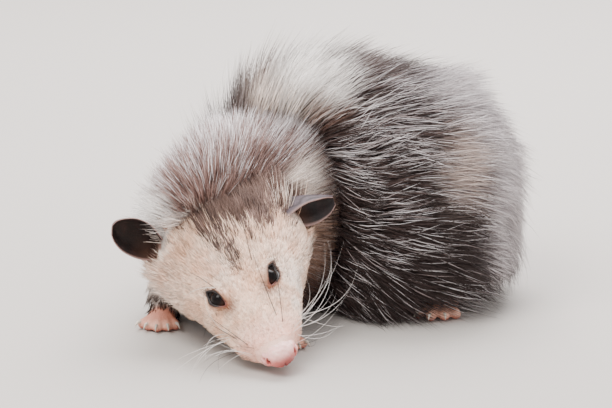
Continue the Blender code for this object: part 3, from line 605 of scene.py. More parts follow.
faceShades = shadesOf(
    cream=(255, 226, 203),
    white=(255, 245, 236),
    tan=(222, 170, 134),
    stain=(116, 56, 22),
    dark=(50, 38, 35),
    stripe=(126, 103, 95),
    muzzle=(255, 206, 188),
    lip=(205, 140, 132),
    lidRim=(26, 17, 15),
    canthus=(98, 68, 74),
    crown=(134, 108, 98),
)
faceMarks = (
    # shade, strength, centre and reach
    ("white", 0.95, (0.026, 0.042, 0.01), (0.014, 0.024, 0.014)),
    ("white", 0.5, (-0.01, 0.06, 0.026), (0.008, 0.014, 0.01)),
    ("tan", 0.55, (-0.018, 0.044, 0.02), (0.008, 0.01, 0.01)),
    ("tan", 0.4, (-0.03, 0.08, 0.024), (0.012, 0.012, 0.012)),
    ("tan", 0.45, (-0.045, 0.085, 0.015), (0.01, 0.016, 0.014)),
    ("tan", 0.55, (0.018, 0.044, 0.02), (0.008, 0.01, 0.01)),
    ("tan", 0.4, (0.03, 0.08, 0.024), (0.012, 0.012, 0.012)),
    ("tan", 0.45, (0.045, 0.085, 0.015), (0.01, 0.016, 0.014)),
    ("tan", 0.45, (0.003, 0.05, 0.024), (0.006, 0.026, 0.01)),
)


def eyeDistance(local):
    # How far points lie from the opening of the nearer eye
    return np.min([almond(*moved(eyeMatrix(side).inverted(), local).T[:2]) for side in (-1, 1)], axis=0)


def stripeShare(local):
    # The grey stripe that starts narrow between the brows and widens over the crown
    side, back, height = local.T
    rows = (0.05, 0.06, 0.076, 0.09, 0.102, 0.112, 0.13)
    halfWidth = np.interp(back, rows, (0.001, 0.004, 0.006, 0.0095, 0.018, 0.03, 0.04))
    wander = 0.0012 * np.sin(back * 210)
    share = 1 - ramp(np.abs(side + 0.0002 - wander), halfWidth * 0.4, halfWidth * 1.6)
    return share * ramp(back, 0.05, 0.064) * (height > 0.01)


def faceTone(local):
    side, back, height = local.T
    tone = faceShades["cream"] + 0 * local
    tone = mixed(tone, faceShades["white"], 0.9 * ramp(np.abs(side), 0.02, 0.044) * ramp(back, 0.05, 0.09))
    for name, strength, centre, sizes in faceMarks:
        tone = mixed(tone, faceShades[name], strength * blob(local, centre, sizes))
    tone = mixed(tone, faceShades["tan"], 0.5 * np.clip(ripple(local, 0.011, 17), 0, 1))
    return mixed(tone, faceShades["muzzle"], 0.85 * (1 - ramp(back, 0.01, 0.03)))


def crownShare(local):
    # Where the pale face gives way to the brown of the neck
    side, back, height = local.T
    rows = (-0.045, -0.02, 0.0, 0.02, 0.03, 0.04)
    start = np.interp(side, rows, (0.108, 0.098, 0.086, 0.075, 0.074, 0.092))
    uneven = back + 0.004 * np.sin(side * 900) + 0.003 * ripple(local, 0.006, 5)
    return ramp(uneven, start - 0.003, start + 0.01)


def earRootShare(local):
    # The dark tufts at the roots of the ears
    share = np.zeros(len(local))
    for ear in ears.values():
        middle = np.mean(ear["rims"][0][:2], axis=0)
        root = moved(headMatrix().inverted(), fromNose(middle)[None])[0]
        share = np.maximum(share, np.exp(-((np.linalg.norm(local - root, axis=-1) / 0.0085) ** 4)))
    return share


def eyeSurround(local, tone):
    # The stain at the inner corners, the dark liner and the bare flesh round the eyes
    for side in (-1, 1):
        here = moved(eyeMatrix(side).inverted(), local)
        along, across, out = here.T
        outside = almond(along, across)
        past = np.maximum(outside, 0)
        front = out > -0.004
        stain = blob(here[:, :2], (eyes["inner"], 0), (0.0056, 0.0042)) * front
        tone = mixed(tone, faceShades["stain"], 0.9 * stain)
        tone = mixed(tone, faceShades["stain"], 0.9 * bell(past, 0.002) * front)
        liner = bell(past, 0.0011) * front
        outer = blob(here[:, :2], (eyes["outer"], 0), (0.0026, 0.0018)) * front
        dark = np.maximum(0.9 * liner * ramp(-along, -0.006, 0.001), 0.95 * outer)
        tone = mixed(tone, faceShades["dark"], dark)
        flesh = mixed(faceShades["lidRim"] + 0 * tone, faceShades["canthus"], ramp(along, 0.0035, 0.006))
        tone = np.where(((outside < 0.0005) & front)[:, None], flesh, tone)
    return tone


def makeHeadSkin():
    backs = np.concatenate([np.linspace(*head["faceRows"]), np.linspace(*head["crownRows"])])
    angles = np.linspace(-math.pi, math.pi, head["columns"], endpoint=False)
    back, angle = np.meshgrid(backs, angles, indexing="ij")
    points = sculptHead(headPoints(back.ravel(), angle.ravel()))
    for side in (-1, 1):
        points = shapeLids(points, side)
    rings = points.reshape(*back.shape, 3)
    return loft("headSkin", rings), rings


def headSkinTone(local):
    tone = faceTone(local)
    tone = mixed(tone, faceShades["crown"], crownShare(local) * (local[:, 2] > 0.0))
    tone = mixed(tone, faceShades["stripe"], 0.8 * stripeShare(local))
    tone = eyeSurround(local, tone)
    off = np.abs(local[:, 2] - tableAt(head["mouthLine"], local[:, 1]))
    mouthEnd = 1 - ramp(local[:, 1], 0.05, 0.058)
    tone = mixed(tone, faceShades["lip"], 0.75 * (bell(off, 0.0016) * mouthEnd))
    return mixed(tone, faceShades["dark"], 0.6 * (bell(off, 0.0005) * mouthEnd))


eyeShades = shadesOf(pupil=(14, 9, 9), iris=(52, 30, 22), rim=(24, 14, 12), rimInner=(128, 74, 62))


def makeEye(side):
    # A ball with a slight cornea, dark brown round a black pupil
    name = "eyeLeft" if side > 0 else "eyeRight"
    eye = ellipsoid(name, (0, 0, 0), (eyes["ball"],) * 3, rows=48, columns=64)
    points = pointsOf(eye)
    reach = np.hypot(points[:, 0], points[:, 1])
    cornea = 0.0005 * bell(reach, 0.0032) * (points[:, 2] > 0)
    points = points + unit(points) * cornea[:, None]
    tone = mixed(eyeShades["pupil"] + 0 * points, eyeShades["iris"], ramp(reach, 0.003, 0.0052) * 0.7)
    setPoints(eye, moved(headMatrix() @ eyeMatrix(side), points))
    faceOut(eye)
    paint(eye, tone)
    dress(eye, surface("wet dark eye"), "eye", "eye_left" if side > 0 else "eye_right")


def makeLidRim(side):
    # The bare wet edge of the lids round the opening
    halfLength, halfHeight, radius = opening()
    reach = math.asin(halfLength / radius)
    turns = np.linspace(-reach, reach, 26)
    upper = np.stack([radius * np.sin(turns), radius * np.cos(turns) - radius + halfHeight], -1)
    lower = np.stack([upper[::-1, 0], -upper[::-1, 1]], -1)
    loop = np.concatenate([upper, lower[1:-1]]) - np.array([eyes["openBack"], 0])
    rimBall = eyes["ball"] + eyes["rimLift"]
    high = np.sqrt(np.maximum(rimBall**2 - (loop**2).sum(-1), eyes["rimLow"] ** 2))
    centres = np.concatenate([loop, high[:, None]], -1)
    ways = unit(np.roll(centres, -1, 0) - np.roll(centres, 1, 0))
    out = unit(centres)
    across = np.cross(ways, out)
    angles = np.linspace(0, 2 * math.pi, 10, endpoint=False)[None, :, None]
    thick = eyes["rimThick"] - eyes["rimTaper"] * (loop[:, 0] / halfLength)
    round_ = np.cos(angles) * across[:, None] + 0.9 * np.sin(angles) * out[:, None]
    rings = centres[:, None] + thick[:, None, None] * round_
    rows, columns = rings.shape[:2]
    last = (rows - 1) * columns
    faces = gridFaces(rows, columns)
    faces += [(last + k, last + (k + 1) % columns, (k + 1) % columns, k) for k in range(columns)]
    rim = newObject("lidRimLeft" if side > 0 else "lidRimRight", rings.reshape(-1, 3), faces)
    points = pointsOf(rim)
    inner = ramp(points[:, 0], 0.003, 0.006)
    paint(rim, mixed(eyeShades["rim"] + 0 * points, eyeShades["rimInner"], inner * 0.8))
    setPoints(rim, moved(headMatrix() @ eyeMatrix(side), points))
    faceOut(rim)
    dress(rim, surface("wet lid rim"), "face")


nose = {
    "padHalf": (0.0094, 0.0086, 0.0077),
    "padCentre": (0.0, 0.0044, 0.0003),
    "wingHalf": (0.0046, 0.0062, 0.0056),
    "wingCentre": (0.007, 0.0068, -0.0006),
    "nostrilCentre": (0.0087, 0.0008, 0.0002),
    "nostrilHalf": (0.0012, 0.003, 0.0026),
    "shift": (0.0013, 0.0, -0.0018),
    "voxel": 0.00036,
    "bareMiddle": (0.0, 0.0055, 0.0),  # of the place that face fur leaves free
    "bareHalf": (0.0132, 0.009, 0.0084),
}
# pale gives the paler wings and the painted highlight on the top; deep gives the painted shade in the
# nostrils and the groove
noseShades = shadesOf(pink=(226, 132, 124), pale=(255, 208, 200), red=(118, 18, 20), deep=(84, 24, 26))


def makeNose():
    pieces = [ellipsoid("pad", nose["padCentre"], nose["padHalf"])]
    x, y, z = nose["wingCentre"]
    for side in (-1, 1):
        pieces.append(ellipsoid("wing", (side * x, y, z), nose["wingHalf"]))
    pad = joined("nosePad", pieces)
    smoothed(pad, nose["voxel"], 14)
    points, normals = pointsOf(pad), normalsOf(pad)
    push = np.zeros(len(points))
    shade = np.zeros(len(points))
    nx, ny, nz = nose["nostrilCentre"]
    for side in (-1, 1):
        hole = blob(points, (side * nx, ny, nz), nose["nostrilHalf"])
        slit = blob(points, (side * (nx + 0.003), ny + 0.004, nz + 0.0012), (0.0016, 0.0036, 0.0009))
        push -= 0.0036 * ramp(hole, 0.2, 0.75) + 0.002 * slit
        shade = np.maximum(shade, np.maximum(ramp(hole, 0.25, 0.8), slit * 0.9))
        push += 0.0006 * blob(points, (side * 0.0046, -0.001, 0.0035), (0.004, 0.004, 0.0035))
    groove = bell(points[:, 0], 0.0006) * (points[:, 1] < 0.004)
    push -= 0.0007 * groove * (1 - ramp(points[:, 2], -0.003, 0.0015))
    push -= 0.0005 * bell(points[:, 0], 0.0022) * ramp(points[:, 2], 0.002, 0.006)
    push += 0.00012 * ripple(points, 0.0022, 8)
    points = points + normals * push[:, None]
    red = blob(points, (0.003, -0.0044, -0.0032), (0.0088, 0.0074, 0.0062))
    tone = noseShades["pink"] + 0 * points
    # Paler towards the top: painted highlight of the wet top; deep in the nostrils and the lower groove:
    # painted shade
    for name, share in (
        ("pale", 0.85 * ramp(points[:, 2], 0.0002, 0.0058)),
        ("pale", 0.6 * ramp(np.abs(points[:, 0]), 0.0085, 0.011)),
        ("red", 0.97 * red),
        ("deep", 0.9 * shade),
        ("deep", 0.3 * groove * (points[:, 2] < 0)),
    ):
        tone = mixed(tone, noseShades[name], share)
    paint(pad, tone)
    setPoints(pad, moved(headMatrix(), points + np.array(nose["shift"])))
    dress(pad, noseMaterial(), "nose", "nose")


# Ears

ears = {
    # from the root in the head to the tip: upper rim, lower rim and depth of the cup between them
    "earRight": {
        "node": "ear_right",
        "rims": (
            ((-0.0676, 0.077, 0.0587), (-0.0708, 0.08, 0.0499), 0.008),
            ((-0.0717, 0.074, 0.0656), (-0.0767, 0.078, 0.051), 0.0105),
            ((-0.0775, 0.071, 0.0744), (-0.0833, 0.076, 0.0518), 0.01),
            ((-0.0852, 0.068, 0.0794), (-0.0898, 0.073, 0.0547), 0.0085),
            ((-0.0923, 0.066, 0.0803), (-0.0957, 0.07, 0.0592), 0.0065),
            ((-0.0977, 0.065, 0.0792), (-0.0998, 0.068, 0.0649), 0.0045),
            ((-0.1007, 0.065, 0.0764), (-0.1014, 0.066, 0.07), 0.0025),
        ),
        "deep": (-0.1, 0.97, 0.2),
    },
    "earLeft": {
        "node": "ear_left",
        "rims": (
            ((0.0006, 0.077, 0.0724), (0.006, 0.083, 0.0703), 0.013),
            ((0.0039, 0.079, 0.0768), (0.0109, 0.087, 0.07), 0.017),
            ((0.0097, 0.082, 0.0814), (0.0158, 0.09, 0.0688), 0.015),
            ((0.0157, 0.085, 0.0846), (0.0212, 0.092, 0.0698), 0.0115),
            ((0.0218, 0.088, 0.0859), (0.0261, 0.094, 0.0721), 0.0085),
            ((0.0272, 0.091, 0.0865), (0.0303, 0.095, 0.0756), 0.0055),
            ((0.0315, 0.094, 0.0858), (0.0332, 0.096, 0.0804), 0.003),
        ),
        "deep": (-0.2, 0.72, 0.6),
    },
}
earLeaf = {
    "rows": 60,
    "columns": 44,
    "wrap": 72.0,
    "thick": 0.0011,
    "rimThick": 0.0005,
    "folds": 0.0005,
    "lower": 0.0014,  # how far both ears are set down
}
earShades = shadesOf(
    inside=(20, 12, 12),
    warm=(40, 23, 22),
    base=(96, 68, 56),
    rim=(150, 122, 116),
    back=(84, 73, 79),
    streak=(36, 29, 31),
)


def earStations(ear):
    rims = np.array([(*upper, *lower, depth) for upper, lower, depth in ear["rims"]])
    places = (len(rims) - 1) * np.sin(np.linspace(0, math.pi / 2, earLeaf["rows"]))
    stations = curveThrough(rims, places)
    drop = np.array([0, 0, earLeaf["lower"]])
    upper, lower = fromNose(stations[:, :3]) - drop, fromNose(stations[:, 3:6]) - drop
    return upper, lower, stations[:, 6], unit(np.array(ear["deep"]))


def earSurface(ear):
    upper, lower, depth, deep = earStations(ear)
    wrap = math.radians(earLeaf["wrap"])
    across = np.linspace(-1, 1, earLeaf["columns"])
    turn = wrap * across
    half = (lower - upper) / 2
    sink = depth[:, None] * ((np.cos(turn) - math.cos(wrap)) / (1 - math.cos(wrap)))[None]
    middle = (upper + lower) / 2
    points = middle[:, None] + half[:, None] * (np.sin(turn) / math.sin(wrap))[None, :, None]
    points = points + deep * sink[..., None]
    along = np.linspace(0, 1, earLeaf["rows"])[:, None] + 0 * across[None]
    return points, along, across[None] + 0 * along, deep


def makeEar(name, ear):
    points, along, across, deep = earSurface(ear)
    normals = unit(np.cross(np.gradient(points, axis=0), np.gradient(points, axis=1)))
    if (normals @ deep).mean() > 0:
        normals = -normals  # towards the open side of the cup
    edge = np.minimum(1 - np.abs(across), (1 - along) * 1.6)
    thick = earLeaf["rimThick"] + (earLeaf["thick"] - earLeaf["rimThick"]) * ramp(edge, 0.0, 0.25)
    folds = earLeaf["folds"] * np.sin(across * 7 + along * 5) * ramp(edge, 0.05, 0.3) * (1 - along)
    points = points + normals * folds[..., None]
    halfThick = normals * (thick / 2)[..., None]
    front, rear = points + halfThick, points - halfThick
    rows, columns = along.shape
    count = rows * columns
    faces = gridFaces(rows, columns, closed=False)
    faces += [tuple(k + count for k in face[::-1]) for face in faces]
    outline = [r * columns for r in range(rows)] + [(rows - 1) * columns + c for c in range(1, columns)]
    outline += [r * columns + columns - 1 for r in range(rows - 2, -1, -1)]
    outline += range(columns - 2, 0, -1)
    faces += [(a, b, b + count, a + count) for a, b in zip(outline, outline[1:] + outline[:1])]
    leaf = newObject(name, np.concatenate([front.reshape(-1, 3), rear.reshape(-1, 3)]), faces)
    faceOut(leaf)
    flat = points.reshape(-1, 3)
    edge, along, across = edge.ravel(), along.ravel(), across.ravel()
    warm = np.clip(ripple(flat, 0.008, 3), 0, 1)
    cup = mixed(earShades["inside"] + 0 * flat, earShades["warm"], 0.6 * warm)
    cup = mixed(cup, earShades["base"], 0.7 * (1 - ramp(along, 0.05, 0.4)) * ramp(across, -0.2, 0.7))
    cup = mixed(cup, earShades["rim"], 1 - ramp(edge, 0.02, 0.07))
    streaks = np.clip(np.sin(across * 26 + 3 * ripple(flat, 0.01, 6)), 0, 1)
    back = mixed(earShades["back"] + 0 * flat, earShades["streak"], 0.8 * streaks)
    back = mixed(back, earShades["rim"], 0.9 * (1 - ramp(edge, 0.02, 0.08)))
    paint(leaf, np.concatenate([cup, back]))
    dress(leaf, surface("thin ear skin"), "ear", ear["node"])
    return leaf


# Trunk

trunks = {
    "neck": {
        # side, back and height from the floor under the nose, heading, half width left and right,
        # height above and depth below
        "sections": (
            (-0.033, 0.084, 0.053, 108.0, 0.034, 0.041, 0.033, 0.03),
            (-0.03, 0.103, 0.06, 98.0, 0.04, 0.043, 0.044, 0.043),
            (-0.024, 0.124, 0.066, 88.0, 0.043, 0.042, 0.046, 0.057),
            (-0.012, 0.146, 0.068, 76.0, 0.042, 0.042, 0.044, 0.058),
            (0.002, 0.164, 0.068, 62.0, 0.032, 0.032, 0.034, 0.045),
        ),
        "grid": (-0.01, 0.02),  # how far the rings go on before the start and past the end
        "startDome": 0.004,
        "endDome": 0.01,
        "lowSquareness": 2.8,
    },
    "body": {
        "sections": (
            (-0.03, 0.174, 0.065, 10.0, 0.014, 0.024, 0.032, 0.034),
            (-0.018, 0.172, 0.063, 9.0, 0.019, 0.039, 0.057, 0.052),
            (0.001, 0.17, 0.061, 8.0, 0.025, 0.048, 0.074, 0.057),
            (0.026, 0.17, 0.059, 6.0, 0.038, 0.055, 0.083, 0.056),
            (0.048, 0.171, 0.058, 4.0, 0.052, 0.056, 0.083, 0.055),
            (0.072, 0.172, 0.057, 3.0, 0.055, 0.057, 0.08, 0.053),
            (0.097, 0.172, 0.06, 0.0, 0.052, 0.053, 0.072, 0.04),
            (0.119, 0.171, 0.06, 0.0, 0.043, 0.043, 0.06, 0.037),
            (0.133, 0.17, 0.06, 0.0, 0.032, 0.032, 0.045, 0.029),
        ),
        "grid": (-0.02, 0.045),
        "startDome": 0.012,
        "endDome": 0.022,
        "lowSquareness": 3.8,
    },
}
trunkSquareness = 2.15
domeShare = 0.35  # how much of its dome a trunk's bare end has


def trunkLine(trunk):
    # Length, centre, way, side and the four half sizes along a trunk
    rows = curveThrough(trunk["sections"], np.linspace(0, len(trunk["sections"]) - 1, 161))
    centres = fromNose(rows[:, :3])
    heading = np.radians(rows[:, 3])
    steps = np.linalg.norm(np.diff(centres, axis=0), axis=1)
    lengths = np.concatenate([[0], np.cumsum(steps)])
    way = np.stack([np.cos(heading), np.sin(heading), 0 * heading], -1)
    side = np.cross(way, upward)
    return np.concatenate([lengths[:, None], centres, way, side, rows[:, 4:]], 1)


def lineAt(trunk, length, first, last):
    # Columns of a trunk's line at the given lengths
    line = trunk["line"]
    return np.stack([np.interp(length, line[:, 0], line[:, k]) for k in range(first, last)], -1)


def trunkPoints(trunk, length, angle):
    # Points round a trunk's skin, domed past either end
    end = trunk["line"][-1, 0]
    row = lineAt(trunk, np.clip(length, 0, end), 1, 14)
    centre, way, side, (left, right, above, below) = row[:, :3], row[:, 3:6], row[:, 6:9], row[:, 9:].T
    past = np.where(length < 0, length, np.maximum(length - end, 0))
    dome = np.where(length < 0, -trunk["startDome"], trunk["endDome"]) * domeShare
    share = 1 - np.exp(-past / dome)
    shrink = np.sqrt(1 - share**2)
    low = np.sin(angle) < 0
    square = np.where(low, trunk["lowSquareness"], trunkSquareness)
    across = np.where(np.cos(angle) > 0, left, right) * signedPower(np.cos(angle), 2 / square) * shrink
    rise = np.where(low, below, above) * signedPower(np.sin(angle), 2 / square) * shrink
    return centre + way * (dome * share)[:, None] + side * across[:, None] + upward * rise[:, None]


def trunkRings(trunk, rows=150, columns=160):
    before, after = trunk["grid"]
    lengths = np.linspace(before, trunk["line"][-1, 0] + after, rows)
    angles = np.linspace(-math.pi, math.pi, columns, endpoint=False)
    length, angle = np.meshgrid(lengths, angles, indexing="ij")
    points = trunkPoints(trunk, length.ravel(), angle.ravel())
    return points.reshape(rows, columns, 3), length, angle


# Legs and tail

foreFoot = {"palmHalf": (0.009, 0.011, 0.006), "toeLength": 0.015, "toeFan": 66.0, "toeRadius": 0.0034}
hindFoot = {"palmHalf": (0.0125, 0.017, 0.0062), "toeLength": 0.019, "toeFan": 70.0, "toeRadius": 0.0036}
legs = {
    # bones: side, back, height and radius from the body down to the paw
    "foreleg_right": {
        "bones": (
            (-0.054, 0.135, 0.056, 0.017), (-0.066, 0.141, 0.033, 0.0145),
            (-0.071, 0.129, 0.015, 0.0105), (-0.072, 0.117, 0.009, 0.0085),
        ),
        "palm": (-0.0725, 0.113, 0.0052),
        "toesWay": -98.0,
        **foreFoot,
    },
    "foreleg_left": {
        "bones": (
            (-0.002, 0.126, 0.034, 0.014), (-0.001, 0.112, 0.021, 0.012),
            (-0.001, 0.093, 0.013, 0.01), (0.0, 0.079, 0.009, 0.0085),
        ),
        "palm": (0.001, 0.072, 0.0052),
        "toesWay": -82.0,
        **foreFoot,
    },
    "hindleg_left": {
        "bones": (
            (0.09, 0.156, 0.048, 0.019), (0.1, 0.15, 0.032, 0.016), (0.109, 0.166, 0.016, 0.011),
            (0.106, 0.157, 0.0085, 0.008), (0.102, 0.147, 0.0075, 0.008),
        ),
        "palm": (0.099, 0.142, 0.0054),
        "toesWay": -104.0,
        **hindFoot,
    },
    "hindleg_right": {
        "bones": (
            (0.08, 0.208, 0.048, 0.019), (0.07, 0.22, 0.03, 0.016), (0.096, 0.225, 0.016, 0.011),
            (0.087, 0.226, 0.0085, 0.008), (0.076, 0.227, 0.0075, 0.008),
        ),
        "palm": (0.07, 0.228, 0.0054),
        "toesWay": -186.0,
        **hindFoot,
    },
}
paws = {
    "furOnLeg": 0.0022,  # how much thinner the bare leg is than its furred solid
    "toeCount": 5,
    # of the palm's and of the toe's length ahead, of its radius up, of its radius thick
    "toeJoints": (
        (0.45, 0.0, 1.45, 0.92), (0.75, 0.3, 1.62, 0.8), (0.75, 0.62, 1.3, 0.86), (0.75, 0.98, 0.96, 0.96),
    ),
    "clawLength": 0.0058,
    "clawRadius": 0.0011,
    # of its length ahead, upwards in metres, of its radius thick
    "clawJoints": ((0.0, 0.0, 1.0), (0.4, 0.0003, 0.85), (0.72, -0.0008, 0.5), (0.9, -0.0022, 0.15)),
}
pawShades = shadesOf(
    skin=(196, 130, 108),
    toeTip=(226, 172, 150),
    sole=(184, 110, 94),
    claw=(214, 202, 188),
)


def toeNodes(leg, k):
    # Nodes of one toe and the way it points
    heading = math.radians(leg["toesWay"])
    spread = (k / (paws["toeCount"] - 1) - 0.5) * math.radians(leg["toeFan"])
    way = np.array([math.cos(heading + spread), math.sin(heading + spread), 0.0])
    length = leg["toeLength"] * (1.0 - 0.5 * abs(k - 2) / paws["toeCount"])
    radius, front = leg["toeRadius"], leg["palmHalf"][0]
    flat = fromNose(leg["palm"]) * np.array([1, 1, 0])
    nodes = []
    for ahead, reach, up, thick in paws["toeJoints"]:
        place = flat + way * (front * ahead + length * reach)
        nodes.append((place[0], place[1], radius * up, radius * thick))
    return nodes, way


def makeLegForms():
    forms = []
    for name, leg in legs.items():
        bones = np.array(leg["bones"])
        bones[:, :3] = fromNose(bones[:, :3])
        bones[:, 3] -= paws["furOnLeg"] * np.linspace(1, 0.25, len(bones))
        for first, second in zip(bones, bones[1:]):
            forms.append(loft(name, tubeRings([first, second], 6, 24)))
        halves = np.array(leg["palmHalf"])[[1, 0, 2]]
        forms.append(ellipsoid(name, fromNose(leg["palm"]), halves, math.radians(leg["toesWay"])))
        for k in range(paws["toeCount"]):
            forms.append(loft(name, tubeRings(toeNodes(leg, k)[0], 12, 16)))
    return forms


def makeClaws():
    claws = []
    for name, leg in legs.items():
        for k in range(paws["toeCount"]):
            if name.startswith("hindleg") and k == (4 if name.endswith("left") else 0):
                continue  # the hind thumb has no claw
            nodes, way = toeNodes(leg, k)
            tip = np.array(nodes[-1][:3])
            start = tip + way * leg["toeRadius"] * 0.55 + upward * leg["toeRadius"] * 0.45
            bend = [
                (*(start + way * paws["clawLength"] * reach + upward * rise), paws["clawRadius"] * thick)
                for reach, rise, thick in paws["clawJoints"]
            ]
            claws.append(loft("claw", tubeRings(bend, 10, 12)))
    made = joined("claws", claws)
    points = pointsOf(made)
    points[:, 2] = np.maximum(points[:, 2], 0.0002)
    setPoints(made, points)
    paint(made, pawShades["claw"] * (0.85 + 0.2 * ripple(points, 0.004, 2)[:, None]))
    dress(made, surface("horn claw"), "paw")


tail = {
    # side, back, height and radius from the rump to the tip
    "points": (
        (0.122, 0.182, 0.05, 0.012),
        (0.13, 0.206, 0.033, 0.0108),
        (0.124, 0.232, 0.015, 0.0098),
        (0.1, 0.252, 0.0088, 0.009),
        (0.065, 0.264, 0.008, 0.0082),
        (0.025, 0.267, 0.007, 0.0072),
        (-0.012, 0.259, 0.006, 0.0062),
        (-0.042, 0.242, 0.0049, 0.0051),
        (-0.062, 0.218, 0.0035, 0.0037),
        (-0.072, 0.196, 0.002, 0.0022),
    ),
    "rows": 420,
    "sides": 40,
    "ringStep": 0.0021,  # from one ring of scales to the next
    "beads": 12,  # scales round the tail
    "ringSwell": 0.014,  # share of the radius
    "beadSwell": 0.006,
}
tailShades = shadesOf(root=(52, 44, 44), pale=(206, 176, 164), scale=(150, 124, 116))


def makeTail():
    nodes = np.array(tail["points"])
    nodes[:, :3] = fromNose(nodes[:, :3])
    rings = tubeRings(nodes, tail["rows"], tail["sides"])
    centres = rings.mean(1)
    walked = np.concatenate([[0], np.cumsum(np.linalg.norm(np.diff(centres, axis=0), axis=1))])
    out = rings - centres[:, None]
    wave = np.sin(walked * 2 * math.pi / tail["ringStep"])[:, None]
    beads = np.sin(np.arange(tail["sides"]) * 2 * math.pi * tail["beads"] / tail["sides"])[None]
    swell = 1 + tail["ringSwell"] * wave + tail["beadSwell"] * beads * np.sign(wave)
    rings = centres[:, None] + out * swell[..., None]
    rings[..., 2] = np.maximum(rings[..., 2], 0.0)
    body = loft("tail", rings)
    share = np.concatenate([np.repeat(walked / walked[-1], tail["sides"]), [0, 1]])
    points = pointsOf(body)
    patchy = 0.06 * ripple(points, 0.02, 12)
    tone = mixed(tailShades["root"] + 0 * points, tailShades["pale"], ramp(share + patchy, 0.2, 0.36))
    ringShade = np.concatenate([np.repeat(ramp(-wave[:, 0], 0.3, 1.0), tail["sides"]), [0, 0]])
    tone = mixed(tone, tailShades["scale"] * 0.6, 0.45 * ringShade)
    paint(body, tone)
    dress(body, surface("scaly tail skin"), "tail", "tail_base", "tail_middle", "tail_tip")


# Coat

shades = shadesOf(
    # dark of the under coat, also the painted shade under the throat
    underDark=(41, 31, 30),
    under=(112, 91, 86),
    guardRoot=(70, 58, 56),
    guardDark=(48, 37, 35),
    guardGrey=(166, 150, 148),
    guardPale=(250, 246, 247),
    neckUnder=(142, 110, 101),
    neckDark=(78, 59, 54),
    brown=(130, 94, 76),
    edge=(86, 65, 59),
    haunch=(50, 39, 38),
    patch=(228, 206, 195),
    # pale of the painted rim light along the rump's outline
    rim=(214, 206, 208),
    white=(255, 250, 245),
    cream=(252, 236, 224),
    jowl=(206, 166, 142),
)
coatMarks = {
    # middle of each marking as seen on the coat, from the floor under the nose, and its reach
    "whitePatch": ((0.0185, 0.148, 0.144), (0.021, 0.06, 0.013)),
    "creamPatch": ((-0.006, 0.145, 0.129), (0.013, 0.045, 0.0105)),
    "topEdge": ((-0.013, 0.169, 0.148), (0.012, 0.06, 0.024)),
    "streak": ((0.013, 0.135, 0.129), (0.02, 0.035, 0.0085)),
    "top": ((0.05, 0.152, 0.163), (0.04, 0.07, 0.013)),
    "flank": ((0.06, 0.105, 0.1), (0.03, 0.05, 0.026)),
    "palePatch": ((0.1075, 0.111, 0.1), (0.01, 0.03, 0.019)),
    "haunch": ((0.103, 0.103, 0.062), (0.02, 0.04, 0.024)),
    "neckDark": ((-0.012, 0.092, 0.101), (0.028, 0.03, 0.0125)),
    "creamEar": ((0.0145, 0.104, 0.09), (0.008, 0.032, 0.0105)),
    "whiteEar": ((-0.078, 0.083, 0.078), (0.013, 0.02, 0.01)),
    "jowl": ((0.024, 0.112, 0.056), (0.013, 0.04, 0.02)),
}
# how strongly the under coat and the guard hairs of body and neck take each marking, the painted rim light
# on the rump and the painted shade under the throat
bodyWeights = (
    {"edge": 0.85, "rim": 0.75, "haunch": 0.8, "patch": 0.9, "brown": 0.9, "cream": 0.95, "white": 1.0},
    {"edge": 0.8, "rim": 0.55, "patch": 0.75, "brown": 0.9, "cream": 1.0, "white": 1.0},
)
neckWeights = (
    {"underDark": 0.85, "neckDark": 0.85, "jowl": 0.85, "cream": 0.95, "white": 1.0},
    {"jowl": 0.6, "cream": 1.0, "white": 1.0},
)


def mark(name, place, gain=1.0):
    return np.clip(gain * blob(place, *coatMarks[name]), 0, 1)


def marked(tones, found, weights):
    for name, weight in weights.items():
        tones = [mixed(tone, shades[name], found[name] * weight) for tone in tones]
    return tones


def guardTones(roots, tips):
    # From root to tip
    return [roots, mixed(roots, tips, 0.3), mixed(roots, tips, 0.9), tips]


def rimLightShare(place):
    # Painted rim light: the upper and back outline of the rump laid as pale hair
    over = ramp(place @ np.array([0.75, 0.0, 0.65]), 0.153, 0.17)
    behind = ramp(place[:, 0], 0.117, 0.134) * ramp(place[:, 2], 0.01, 0.045)
    return np.maximum(over, behind)


def bodyShares(place, points):
    # How much of each marking a place on the body's coat has
    white = np.clip(mark("whitePatch", place, 2.0) + 0.15 * ripple(points, 0.006, 25), 0, 1)
    white = white * (blob(place, *coatMarks["whitePatch"]) > 0.12) * (1 - 0.75 * mark("streak", place))
    cream = mark("creamPatch", place, 2.4) * (1 - white)
    rest = 1 - np.maximum(white, cream)
    brown = mark("streak", place, 1.3) * rest
    edge = np.maximum(mark("topEdge", place, 1.8), 0.85 * mark("top", place, 1.4)) * rest
    pale = mark("palePatch", place, 1.5)
    rim = rimLightShare(place) * (1 - pale)
    haunch = mark("haunch", place, 1.4) * (1 - pale) * (1 - rim)
    return {
        "edge": edge, "rim": rim, "haunch": haunch, "patch": pale,
        "brown": brown, "cream": cream, "white": white,
    }


def bodyTones(place, points, draw):
    # Tones of the under coat and the guard hairs from root to tip
    count = len(place)
    found = bodyShares(place, points)
    height = place[:, 2]
    lift = 0.35 + 0.45 * ramp(height, 0.05, 0.12)
    low = shades["underDark"] + 0 * points
    under = [mixed(low, shades["under"], draw.uniform(0.3, 1, count) * lift * k) for k in (0.6, 0.9, 1.3)]
    # more pale tips along the painted rim light
    share = 0.42 + 0.24 * ripple(points, 0.03, 21) + 0.24 * mark("flank", place) + 0.5 * found["rim"]
    share = share - 0.16 * ramp(height, 0.104, 0.122) * (1 - found["rim"])
    share = share - 0.42 * found["edge"] - 0.38 * found["haunch"] - 0.28 * (1 - ramp(height, 0.03, 0.08))
    isPale = draw.uniform(size=count) < np.clip(share, 0.08, 1)
    tipPale = mixed(shades["guardGrey"] + 0 * points, shades["guardPale"], draw.uniform(0.0, 1.2, count))
    tips = np.where(isPale[:, None], tipPale, shades["guardDark"])
    guard = guardTones(shades["guardRoot"] + 0 * points, tips)
    return marked(under, found, bodyWeights[0]), marked(guard, found, bodyWeights[1])


